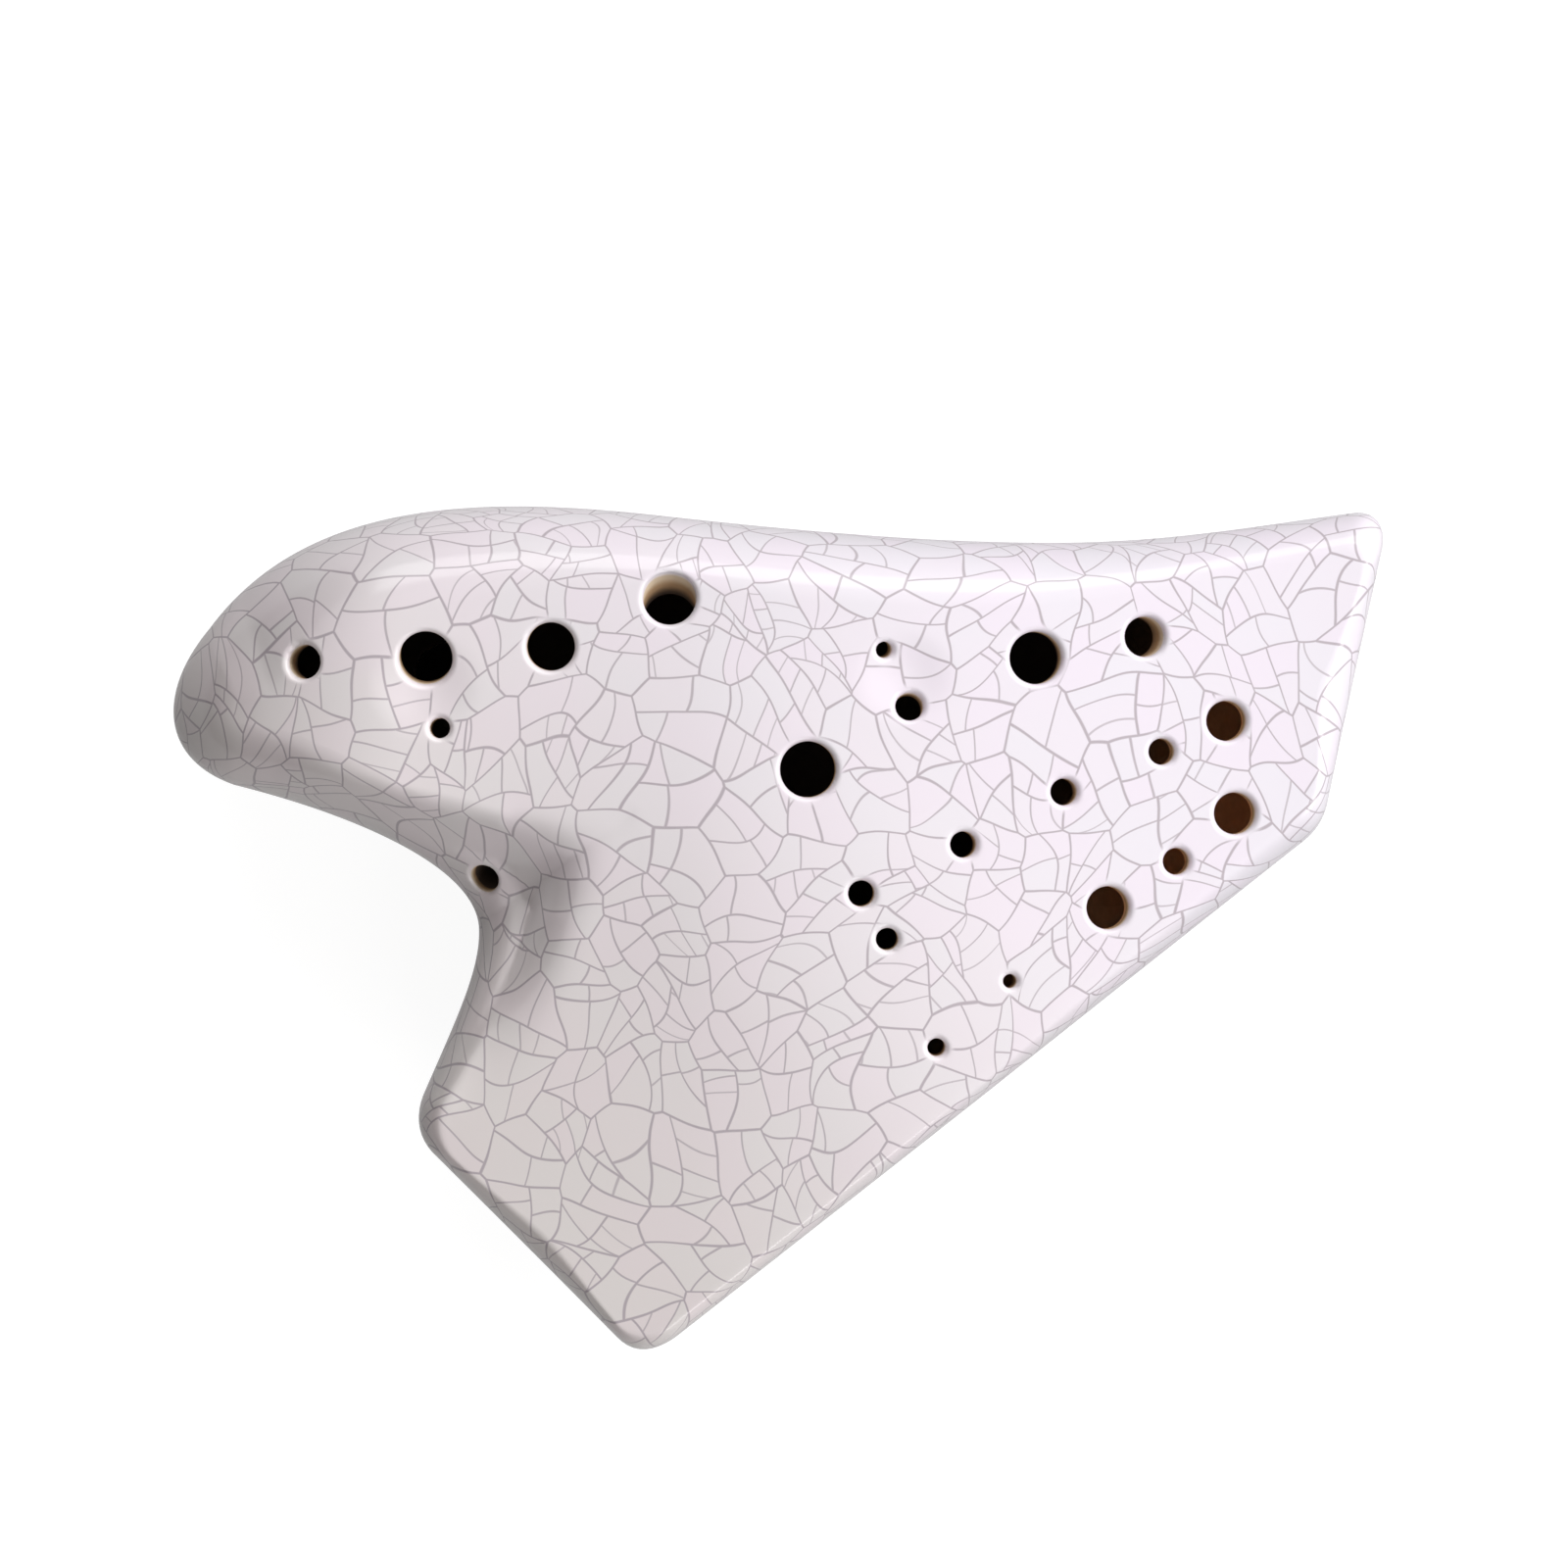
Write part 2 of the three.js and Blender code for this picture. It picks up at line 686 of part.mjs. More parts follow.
// The clay block of one voice fills the mouthpiece between the dividers' middles
function windwayBlock(fromAlong, toAlong, voice) {
  const slab = mouthPrism([
    [0, 0],
    [windwayLength, 0],
    [windwayLength, frontRise + backDepth],
    [0, frontRise + backDepth],
  ], (fromAlong + toAlong) / 2, toAlong - fromAlong);
  return seatedSpace
    .intersect(slab)
    .subtract(wallAlong(lowMidPath, dividerThickness + 2 * seat))
    .subtract(wallAlong(midHighPath, dividerThickness + 2 * seat))
    .subtract(windwayVoid(voice));
}

function frontShell() {
  return [...lowHoleShares, ...midHoleShares, ...highHoleShares].map(frontBore)
    .reduce((shell, bore) => shell.subtract(bore), halfSolid(frontForm, 0, 0))
    .subtract(halfSolid(frontForm, wall, overrun))
    .subtract(strapPassage(frontSkin));
}

function backShell() {
  let shell = halfSolid(backForm, 0, 0)
    .subtract(halfSolid(backForm, wall, overrun))
    .subtract(thumbBore(leftThumbShare, leftThumbBore))
    .subtract(thumbBore(rightThumbShare, rightThumbBore))
    .subtract(strapPassage(backSkin));
  Object.values(voices).forEach((voice) => {
    shell = shell.subtract(windwayVoid(voice)).subtract(windowAndRamp(voice));
  });
  return shell;
}

// Clays and glaze
const glaze = new THREE.MeshStandardMaterial({ color: 0xe8e0e6, roughness: 0.12, metalness: 0 });
const biscuit = new THREE.MeshStandardMaterial({ color: 0x7a4f33, roughness: 0.85, metalness: 0 });

function meshOf(name, solid, material) {
  const { vertProperties, triVerts } = solid.getMesh();
  const geometry = new THREE.BufferGeometry();
  geometry.setAttribute('position', new THREE.BufferAttribute(vertProperties, 3));
  geometry.setIndex(new THREE.BufferAttribute(triVerts, 1));
  geometry.computeVertexNormals();
  const mesh = new THREE.Mesh(geometry, material);
  mesh.name = name;
  return mesh;
}

const ocarina = new THREE.Group();
ocarina.add(
  meshOf('front_shell', frontShell(), glaze),
  meshOf('back_shell', backShell(), glaze),
  meshOf('low_mid_divider', seatedSpace.intersect(wallAlong(lowMidPath, dividerThickness)), biscuit),
  meshOf('mid_high_divider', seatedSpace.intersect(wallAlong(midHighPath, dividerThickness)), biscuit),
  meshOf('low_windway_block', windwayBlock(-mouthReach, lowMidAlong, voices.low), biscuit),
  meshOf('mid_windway_block', windwayBlock(lowMidAlong, midHighAlong, voices.mid), biscuit),
  meshOf('high_windway_block', windwayBlock(midHighAlong, mouthReach, voices.high), biscuit),
);

export default ocarina;
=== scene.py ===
# A triple ocarina in white crackle glaze, lying on its back and seen from straight above.
# The front and the back are pressed clay shells under one glaze; the walls and blocks inside
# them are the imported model's own, in bare clay.
# Sizes are in millimetres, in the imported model's own frame, and are turned to metres by MM.

import math

import bmesh
import bpy
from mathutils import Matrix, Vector
from mathutils.bvhtree import BVHTree


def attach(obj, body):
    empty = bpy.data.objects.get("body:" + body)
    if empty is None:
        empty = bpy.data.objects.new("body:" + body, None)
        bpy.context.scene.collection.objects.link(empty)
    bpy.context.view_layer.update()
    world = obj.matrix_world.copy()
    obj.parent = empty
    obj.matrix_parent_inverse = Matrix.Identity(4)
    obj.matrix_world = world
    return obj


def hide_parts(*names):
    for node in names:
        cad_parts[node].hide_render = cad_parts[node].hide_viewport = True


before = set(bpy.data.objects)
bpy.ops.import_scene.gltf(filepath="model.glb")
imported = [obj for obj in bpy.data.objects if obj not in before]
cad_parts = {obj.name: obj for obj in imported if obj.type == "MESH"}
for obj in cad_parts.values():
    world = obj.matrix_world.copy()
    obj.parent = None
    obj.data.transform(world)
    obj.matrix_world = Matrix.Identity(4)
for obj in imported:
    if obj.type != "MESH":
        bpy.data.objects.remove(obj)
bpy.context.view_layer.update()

MM = 0.001

# Body; each side says how far it stands off the seam in full, at the mouth, at the blunt end and
# at the lobe's tip, and over how long a run it rises from the mouth and falls to the blunt end
BODY_LENGTH = 205
BODY_WIDTH = 143
SEAM = 21
FRONT_RISE = 23
BACK_DEPTH = 21
WALL = 5
LEAST_INNER_RADIUS = 2
MOST_SHOULDER_SHARE = 0.85
LEAST_FACING = 0.5
RUN_BLEND = 4
LOBE_RUN = 40
FRONT = dict(side=1, full=FRONT_RISE, mouth=10, mouth_run=74, end=12.5, end_run=118, lobe=9)
BACK = dict(side=-1, full=BACK_DEPTH, mouth=7.5, mouth_run=46, end=11, end_run=62, lobe=13)

# Ledge under the lobe, the crease in it, and where the crease's end is softened
LEDGE_WIDTH = 12
LEDGE_RUN = 13
LEDGE_SHARE = 0.5
CREASE_LEDGE_WIDTH = 7
CREASE_RUN = (4, 11)
CREASE_FROM = 6
CREASE_FADE = 14
CREST_BLEND = 0.3
NO_BLEND = 0.000001
CREASE_END = (0.333, 0.597)
CREASE_END_REACH = 12
CREASE_END_PASSES = 60

# Finger dishes round the two pairs of holes
DISH_DEPTH = 0.9
DISHES = [dict(at=(0.215, 0.783), reach=9.5), dict(at=(0.603, 0.792), reach=8.5)]

# Holes; the finer faces round one reach a share of the wall up and down it, and a margin past
# its lip
WIDEST_BORE = 9.3
LEFT_THUMB_BORE = 11.5
RIGHT_THUMB_BORE = 10
STRAP_BORE = 4.8
STRAP_INSET = 4.4
STRAP_TURN = 9.5
# How much nearer its rim the strap passage's clay takes its painted shade
STRAP_PAINTED_SHADE = 2.5
LIP = 1.0
LIP_PASSES = 6
FINE_WALL_SHARE = 0.7
FINE_MARGIN = 0.4
FAR_FROM_RIM = 5
ON_SKIN = 0.15
BORE_SIDES = 72
PAST = 2
LOOK_FROM = 100

# Windways
WINDWAY_HEIGHT = 1.5
WINDWAY_OVER_WALL = 0.3
WINDWAY_LENGTH = 38
WINDOW_LENGTH = 5.5
RAMP_LENGTH = 10
RAMP_OVERLAP = 0.05
LABIUM_EDGE = 0.6
VOICES = [dict(share=-0.76, width=10), dict(share=0, width=8), dict(share=0.72, width=7)]

# Fineness of the shells
CORNER_STEPS = 10
EDGE_STEPS = 48
MOUTH_STEPS = 72
END_STEPS = 96
LOBE_STEPS = 84
LOBE_TIP_STEPS = 36
SKIN_STEPS = (16, 40)
CHAMBER_STEPS = (5, 9)
LIP_CUTS = 3
SMOOTH_ANGLE = math.radians(38)
MERGE_DISTANCE = 0.002

# Camera: straight above, as the photograph
CAMERA_DISTANCE = 900
CAMERA_OVER = (1.08, 24.2)
PHOTO_WIDTH = 265.8
SENSOR = 36


def mix(a, b, share):
    return a + (b - a) * share


def ease(share):
    t = min(max(share, 0), 1)
    return t * t * (3 - 2 * t)


def deselect():
    bpy.ops.object.select_all(action="DESELECT")


def select_only(piece):
    deselect()
    piece.select_set(True)
    bpy.context.view_layer.objects.active = piece


# Camera
camera_data = bpy.data.cameras.new("camera")
camera = bpy.data.objects.new("camera", camera_data)
bpy.context.collection.objects.link(camera)
camera.location = Vector((*CAMERA_OVER, SEAM + CAMERA_DISTANCE)) * MM
camera_data.sensor_width = SENSOR
camera_data.lens = SENSOR * CAMERA_DISTANCE / PHOTO_WIDTH
camera_data.clip_start = 0.05
camera_data.clip_end = 10
bpy.context.scene.camera = camera


# Outline, anticlockwise, in shares of the body's box
def place(share):
    return Vector(((share[0] - 0.5) * BODY_LENGTH, (share[1] - 0.5) * BODY_WIDTH))


SLANTED_START = (0.416, 0.015)
SLANTED_END = (0.932, 0.599)
SLANTED_MIDDLE = tuple(mix(a, b, 0.5) for a, b in zip(SLANTED_START, SLANTED_END))
END_CORNER = [(0.943, 0.611), (0.949, 0.623), (0.953, 0.643)]
END_EDGE_TOP = (0.998, 0.942)
TOP_CORNER = [(1.003, 0.969), (0.997, 0.991), (0.979, 0.991)]
TOP_HOLLOW = [(0.911, 0.979), (0.829, 0.955), (0.728, 0.955)]
TOP_MIDDLE = [(0.635, 0.955), (0.538, 0.966), (0.416, 0.985)]
TOP_CREST = [(0.278, 1.008), (0.116, 1.019), (0.031, 0.854)]
LOBE_TIP = [(-0.015, 0.776), (-0.009, 0.698), (0.051, 0.668)]
UNDERSIDE = [(0.141, 0.636), (0.248, 0.576), (0.253, 0.501)]
NECK = [(0.255, 0.454), (0.238, 0.402), (0.209, 0.307)]
MOUTH_TOP_CORNER = [(0.201, 0.283), (0.201, 0.256), (0.214, 0.235)]
MOUTH_FOOT = (0.368, 0.014)
MOUTH_FOOT_CORNER = [(0.380, -0.003), (0.395, -0.006), SLANTED_START]

lobe_spine = place((0.066, 0.753))
middle_spine = place((0.416, 0.669))
end_spine = place((0.902, 0.785))
mouth_spine = place((0.356, 0.194))
halfway_spine = end_spine.lerp(middle_spine, 0.5)


def line(start, end):
    return [place(start).lerp(place(end), i / 3) for i in range(4)]


def cubic(start, shares):
    return [place(start), *map(place, shares)]


def stretch(curve, steps, spine, front, back, clay=(5, 5), ledge=(0, 0)):
    return dict(curve=curve, steps=steps, spine=spine, front=front, back=back, clay=clay, ledge=ledge)


# Each stretch: its curve, steps, the part of the spine it faces, and at its start and end the
# shoulders of the front and the back, the clay at the rim and how much ledge it has
STRETCHES = [
    stretch(line(SLANTED_START, SLANTED_MIDDLE), MOUTH_STEPS, (mouth_spine, middle_spine),
            (3, 3), (4, 7)),
    stretch(line(SLANTED_MIDDLE, SLANTED_END), END_STEPS, (middle_spine, end_spine), (3, 5.5), (7, 7)),
    stretch(cubic(SLANTED_END, END_CORNER), CORNER_STEPS, (end_spine, end_spine), (5.5, 6), (7, 7)),
    stretch(line(END_CORNER[2], END_EDGE_TOP), EDGE_STEPS, (end_spine, end_spine), (6, 7.5), (7, 7)),
    stretch(cubic(END_EDGE_TOP, TOP_CORNER), CORNER_STEPS, (end_spine, end_spine), (7.5, 8), (7, 7)),
    stretch(cubic(TOP_CORNER[2], TOP_HOLLOW), END_STEPS // 2, (end_spine, halfway_spine), (8, 12), (7, 14)),
    stretch(cubic(TOP_HOLLOW[2], TOP_MIDDLE), END_STEPS // 2, (halfway_spine, middle_spine),
            (12, 12), (14, 14)),
    stretch(cubic(TOP_MIDDLE[2], TOP_CREST), LOBE_STEPS, (middle_spine, lobe_spine), (12, 21), (14, 21)),
    stretch(cubic(TOP_CREST[2], LOBE_TIP), LOBE_TIP_STEPS, (lobe_spine, lobe_spine), (21, 12), (21, 12)),
    stretch(cubic(LOBE_TIP[2], UNDERSIDE), LOBE_STEPS, (lobe_spine, middle_spine), (12, 9), (12, 12),
            (5, 16), (0, 1)),
    stretch(cubic(UNDERSIDE[2], NECK), MOUTH_STEPS, (middle_spine, mouth_spine), (9, 5), (12, 4),
            (16, 6), (1, 0)),
    stretch(cubic(NECK[2], MOUTH_TOP_CORNER), CORNER_STEPS, (mouth_spine, mouth_spine),
            (5, 5), (4, 4), (6, 6)),
    stretch(line(MOUTH_TOP_CORNER[2], MOUTH_FOOT), EDGE_STEPS, (mouth_spine, mouth_spine),
            (5, 4), (4, 4), (6, 6)),
    stretch(cubic(MOUTH_FOOT, MOUTH_FOOT_CORNER), CORNER_STEPS, (mouth_spine, mouth_spine),
            (4, 3), (4, 4), (6, 5)),
]


def bezier(curve, t):
    a, b, c, d = curve
    s = 1 - t
    return a * s**3 + b * (3 * s * s * t) + c * (3 * s * t * t) + d * t**3


def bezier_slope(curve, t):
    a, b, c, d = curve
    s = 1 - t
    return ((b - a) * (s * s) + (c - b) * (2 * s * t) + (d - c) * (t * t)).normalized()


# Parameters of equal steps in length along a curve
def even_parameters(curve, steps, fineness=400):
    lengths = [0]
    points = [bezier(curve, i / fineness) for i in range(fineness + 1)]
    for before, after in zip(points, points[1:]):
        lengths.append(lengths[-1] + (after - before).length)
    parameters = []
    at = 0
    for step in range(steps):
        wanted = lengths[-1] * step / steps
        while lengths[at + 1] < wanted:
            at += 1
        over = (wanted - lengths[at]) / (lengths[at + 1] - lengths[at])
        parameters.append((at + over) / fineness)
    return parameters


def make_stations():
    stations = []
    for s in STRETCHES:
        for i, t in enumerate(even_parameters(s["curve"], s["steps"])):
            share = i / s["steps"]
            slope = bezier_slope(s["curve"], t)
            stations.append(dict(
                rim=bezier(s["curve"], t),
                spine=s["spine"][0].lerp(s["spine"][1], share),
                inward=Vector((-slope.y, slope.x)),
                front=mix(*s["front"], share),
                back=mix(*s["back"], share),
                clay=mix(*s["clay"], share),
                ledge=mix(*s["ledge"], share),
            ))
    return stations


stations = make_stations()

# The mouth's own frame: along its edge towards the foot, and inwards from the edge
mouth_top = place(MOUTH_TOP_CORNER[2])
mouth_foot = place(MOUTH_FOOT)
mouth_middle = (mouth_top + mouth_foot) / 2
mouth_half = (mouth_foot - mouth_top).length / 2
mouth_along = (mouth_foot - mouth_top).normalized()
mouth_inward = Vector((-mouth_along.y, mouth_along.x))


def mouth_distance(x, y):
    away = Vector((x, y)) - mouth_middle
    beside = max(abs(away.dot(mouth_along)) - mouth_half, 0)
    return math.hypot(away.dot(mouth_inward), beside)


# The lower of two values, rounded off where they are within a blend of each other
def soft_lower(a, b, blend):
    overlap = max(blend - abs(a - b), 0)
    return min(a, b) - overlap * overlap / (4 * blend)


# How high a side stands off the seam, away from its shoulders
def crown(form, x, y):
    ramp = form["mouth"] + (form["full"] - form["mouth"]) / form["mouth_run"] * mouth_distance(x, y)
    end_share = ease((x - BODY_LENGTH / 2 + form["end_run"]) / form["end_run"])
    lobe_share = max((LOBE_RUN - BODY_LENGTH / 2 - x) / LOBE_RUN, 0) ** 2
    height = soft_lower(form["full"], ramp, RUN_BLEND)
    height *= mix(1, form["end"] / form["full"], end_share)
    return height * mix(1, form["lobe"] / form["full"], lobe_share)


# How full the section is at a distance in from the rim; under the lobe the ledge meets the body
# at a crease, which fades out southwards
def fullness(distance, shoulder, reach, ledge, y):
    q = min(distance / shoulder, 1)
    rounded = math.sqrt(1 - (1 - q) ** 2)
    crease = ease((y - CREASE_FROM) / CREASE_FADE)
    flat = min(mix(ledge * LEDGE_WIDTH, ledge * ledge * CREASE_LEDGE_WIDTH, crease), reach / 2)
    run = min(mix(LEDGE_RUN, mix(*CREASE_RUN, ledge), crease), reach - flat)
    blend = max(min(CREST_BLEND, (reach - flat) / run - 1), NO_BLEND)
    rise = soft_lower(max((distance - flat) / run, 0), 1, blend)
    low = mix(1, LEDGE_SHARE, ledge)
    return low * rounded + (1 - low) * rise * (2 - rise) * mix(1, rise, crease)


# How deep the finger dishes press into the front
def dished(x, y):
    depth = 0
    for dish in DISHES:
        share = (Vector((x, y)) - place(dish["at"])).length / dish["reach"]
        depth += DISH_DEPTH * (1 - min(share, 1) ** 2) ** 2
    return depth


# Rings of points from the rim to the spine, for a skin (no depth) or a chamber (a wall deep)
def loft_rings(form, depth, steps):
    rings = []
    for k in range(sum(steps) + 1):
        ring = []
        for s in stations:
            clay = s["clay"] + depth - WALL if depth else 0
            to_spine = s["spine"] - s["rim"]
            direction = to_spine.normalized()
            inset = clay / max(direction.dot(s["inward"]), LEAST_FACING)
            reach = to_spine.length - inset
            shoulder = s["front"] if form["side"] > 0 else s["back"]
            if depth:
                shoulder = max(shoulder - depth, LEAST_INNER_RADIUS)
            shoulder = min(shoulder, reach * MOST_SHOULDER_SHARE)
            turn = min(k / steps[0], 1) * math.pi / 2
            distance = mix(shoulder * (1 - math.cos(turn)), reach, max(k - steps[0], 0) / steps[1])
            flat = s["rim"] + direction * (inset + distance) if k < sum(steps) else s["spine"]
            ledge = s["ledge"] if form["side"] > 0 and not depth else 0
            height = (crown(form, *flat) - depth) * fullness(distance, shoulder, reach, ledge, flat.y)
            if form["side"] > 0 and not depth:
                height -= dished(*flat)
            ring.append(Vector((*flat, SEAM + form["side"] * height)))
        rings.append(ring)
    return rings


# How far the points of each ring lie from the spine along their sections, spine first
def section_lengths(rings):
    lengths = [[0] * len(stations)]
    for before, ring in zip(rings[::-1], rings[-2::-1]):
        lengths.append([so_far + (a - b).length for so_far, a, b in zip(lengths[-1], ring, before)])
    return lengths


# Where each point of a skin would lie if its section were rolled out flat from the spine, as
# long as the front's, so that both sides' cracks meet, and how far it is up its section
def rolled_out(rings):
    lengths = section_lengths(rings)
    front_lengths = section_lengths(loft_rings(FRONT, 0, SKIN_STEPS))[-1]
    longer = [front_length / own for front_length, own in zip(front_lengths, lengths[-1])]
    out = [[s["spine"] - (s["spine"] - s["rim"]).normalized() * length * k
            for s, length, k in zip(stations, row, longer)] for row in lengths]
    from_seam = [[full - length for full, length in zip(lengths[-1], row)] for row in lengths]
    return out, from_seam


# The mesh being edited, with the station and the ring that each of its points came from
def edited(mesh):
    bm = bmesh.from_edit_mesh(mesh)
    return bm, bm.verts.layers.int["station"], bm.verts.layers.int["ring"]


# A closed shell: the skin's rings from the spine out to the rim, and the chamber's back in
def make_shell(name, form):
    skin = loft_rings(form, 0, SKIN_STEPS)
    chamber = loft_rings(form, WALL, CHAMBER_STEPS)
    rings = skin[::-1] + chamber
    plan, from_seam = rolled_out(skin)
    plan += [[p.to_2d() for p in ring] for ring in chamber]
    from_seam += [[0] * len(stations) for ring in chamber]
    deselect()
    bpy.ops.mesh.primitive_circle_add(vertices=len(stations))
    shell = bpy.context.object
    shell.name = name
    mesh = shell.data
    mesh.name = name
    mesh.attributes.new("station", "INT", "POINT").data.foreach_set("value", range(len(stations)))
    mesh.attributes.new("ring", "INT", "POINT")
    bpy.ops.object.mode_set(mode="EDIT")
    for k, ring in enumerate(rings):
        if k:
            bpy.ops.mesh.extrude_edges_move()
        bm, station, ring_row = edited(mesh)
        for v in bm.verts:
            if v.select:
                v.co = ring[v[station]] * MM
                v[ring_row] = k
        bmesh.update_edit_mesh(mesh)
    bm, station, ring_row = edited(mesh)
    plan_map = bm.loops.layers.uv.new("glaze_plan")
    seam_map = bm.loops.layers.uv.new("from_seam")
    on_back = 0 if form["side"] > 0 else 1
    for face in bm.faces:
        for loop in face.loops:
            row, column = loop.vert[ring_row], loop.vert[station]
            loop[plan_map].uv = plan[row][column] * MM
            loop[seam_map].uv = (from_seam[row][column] * MM, on_back)
    bmesh.update_edit_mesh(mesh)
    bpy.ops.mesh.select_all(action="SELECT")
    bpy.ops.mesh.remove_doubles(threshold=MERGE_DISTANCE * MM)
    bpy.ops.mesh.dissolve_degenerate(threshold=MERGE_DISTANCE * MM)
    bpy.ops.mesh.normals_make_consistent(inside=False)
    bpy.ops.object.mode_set(mode="OBJECT")
    return shell


# Holes: place in the outline's box, bore as a share of the widest, and for two how far the drill
# leaned east and north
FRONT_HOLES = [
    (0.116, 0.811, 0.61), (0.216, 0.814, 0.95), (0.227, 0.734, 0.36), (0.317, 0.828, 0.86),
    (0.413, 0.884, 0.94, 0, 0.7), (0.525, 0.686, 1.00), (0.607, 0.760, 0.50), (0.587, 0.824, 0.29),
    (0.710, 0.816, 0.94), (0.799, 0.841, 0.72, 0.24, 0),
    (0.568, 0.542, 0.47), (0.589, 0.489, 0.40), (0.651, 0.599, 0.47), (0.733, 0.660, 0.48),
    (0.813, 0.707, 0.47), (0.866, 0.743, 0.72),
    (0.629, 0.363, 0.32), (0.689, 0.440, 0.25), (0.769, 0.525, 0.77), (0.825, 0.579, 0.48),
    (0.873, 0.635, 0.75),
]
BACK_HOLES = [
    (0.222, 0.800, LEFT_THUMB_BORE / WIDEST_BORE), (0.563, 0.735, RIGHT_THUMB_BORE / WIDEST_BORE),
]
STRAP_EDGE = (0.247, 0.545)


# The outer skin of a side before it is drilled, to look places up on
def skin_tree(shell):
    bm = bmesh.new()
    bm.from_mesh(shell.data)
    ring_row = bm.verts.layers.int["ring"]
    inner = [f for f in bm.faces if max(v[ring_row] for v in f.verts) > sum(SKIN_STEPS)]
    bmesh.ops.delete(bm, geom=inner, context="FACES")
    tree = BVHTree.FromBMesh(bm)
    bm.free()
    return tree


def skin_spot(tree, flat, side):
    start = Vector((*flat, SEAM + side * LOOK_FROM)) * MM
    point, normal, _, _ = tree.ray_cast(start, Vector((0, 0, -side)))
    return point, normal


# A leaned bore is sheared, so its opening stays round; a shaded one has the clay's painted shade start
# nearer its rim
def bore(point, axis, radius, depth, lean=(0, 0), shade_sooner=1):
    return dict(point=point, axis=axis, radius=radius * MM, depth=depth * MM,
                lean=Vector((*lean, 0)), shade_sooner=shade_sooner)


# How far a point lies up a bore and outside it
def bore_reach(b, point):
    away = point - b["point"]
    up = away.dot(b["axis"])
    return up, (away - (b["axis"] + b["lean"]) * up).length - b["radius"]


def drilled_holes(tree, form, holes):
    bores = []
    for x_share, y_share, bore_share, *lean in holes:
        point, normal = skin_spot(tree, place((x_share, y_share)), form["side"])
        bores.append(bore(point, normal, bore_share * WIDEST_BORE / 2, 2 * WALL, lean or (0, 0)))
    return bores


# The strap passage runs from each face of the neck to a turn inside its thick rim
def strap_bore(tree, form):
    at = min(stations, key=lambda s: (s["rim"] - place(STRAP_EDGE)).length)
    mouth = at["rim"] + at["inward"] * STRAP_INSET
    turn = at["rim"] + at["inward"] * STRAP_TURN
    point, _ = skin_spot(tree, mouth, form["side"])
    turn = Vector((*turn, SEAM)) * MM
    axis = (point - turn).normalized()
    return bore(point, axis, STRAP_BORE / 2, (point - turn).length / MM + STRAP_BORE, shade_sooner=STRAP_PAINTED_SHADE)


# Evens out the heights where the crease ends, which the fork of the spine leaves too sharp
def soften_crease_end(shell):
    select_only(shell)
    bpy.ops.object.mode_set(mode="EDIT")
    bpy.ops.mesh.select_mode(type="VERT")
    bpy.ops.mesh.select_all(action="DESELECT")
    bm, _, ring_row = edited(shell.data)
    for v in bm.verts:
        away = (v.co.to_2d() / MM - place(CREASE_END)).length
        v.select = v[ring_row] <= sum(SKIN_STEPS) and away < CREASE_END_REACH
    bm.select_flush_mode()
    bmesh.update_edit_mesh(shell.data)
    bpy.ops.mesh.vertices_smooth(factor=0.5, repeat=CREASE_END_PASSES, xaxis=False, yaxis=False)
    bpy.ops.object.mode_set(mode="OBJECT")


# Finer faces round a hole's rim, so that its lip can be rounded over
def refine_round(shell, bores):
    select_only(shell)
    bpy.ops.object.mode_set(mode="EDIT")
    bpy.ops.mesh.select_mode(type="FACE")
    bpy.ops.mesh.select_all(action="DESELECT")
    bm = bmesh.from_edit_mesh(shell.data)
    for face in bm.faces:
        centre = face.calc_center_median()
        for b in bores:
            up, out = bore_reach(b, centre)
            beside = abs(out - LIP * MM / 2)
            if abs(up) < WALL * MM * FINE_WALL_SHARE and beside < (LIP + FINE_MARGIN) * MM:
                face.select = True
    bmesh.update_edit_mesh(shell.data)
    bpy.ops.mesh.subdivide(number_cuts=LIP_CUTS, quadcorner="INNERVERT")
    bpy.ops.mesh.vertices_smooth(factor=0.5, repeat=LIP_PASSES)
    bpy.ops.object.mode_set(mode="OBJECT")


def cylinder_cutter(b):
    deselect()
    bpy.ops.mesh.primitive_cylinder_add(
        vertices=BORE_SIDES, radius=b["radius"], depth=b["depth"] + PAST * MM,
        location=b["point"] + b["axis"] * (PAST * MM - b["depth"]) / 2,
        rotation=b["axis"].to_track_quat("Z", "X").to_euler())
    cutter = bpy.context.object
    if b["lean"].length:
        bpy.ops.object.transform_apply()
        for v in cutter.data.vertices:
            v.co += b["lean"] * (v.co - b["point"]).dot(b["axis"])
    return cutter


# A cutter with six faces, from the section's four corners (inwards, height), across a voice,
# whose sides change places so that its faces point outward
def section_cutter(corners, voice):
    deselect()
    bpy.ops.mesh.primitive_cube_add(size=1)
    cutter = bpy.context.object
    along = voice["share"] * mouth_half
    for v in cutter.data.vertices:
        column = 0 if v.co.x < 0 else 1
        row = 0 if v.co.z < 0 else 1
        inwards, height = corners[column][row]
        beside = along - math.copysign(voice["width"] / 2, v.co.y)
        flat = mouth_middle + mouth_inward * inwards + mouth_along * beside
        v.co = Vector((*flat, height)) * MM
    return cutter


def back_outer(inwards, along):
    flat = mouth_middle + mouth_inward * inwards + mouth_along * along
    return SEAM - crown(BACK, *flat)


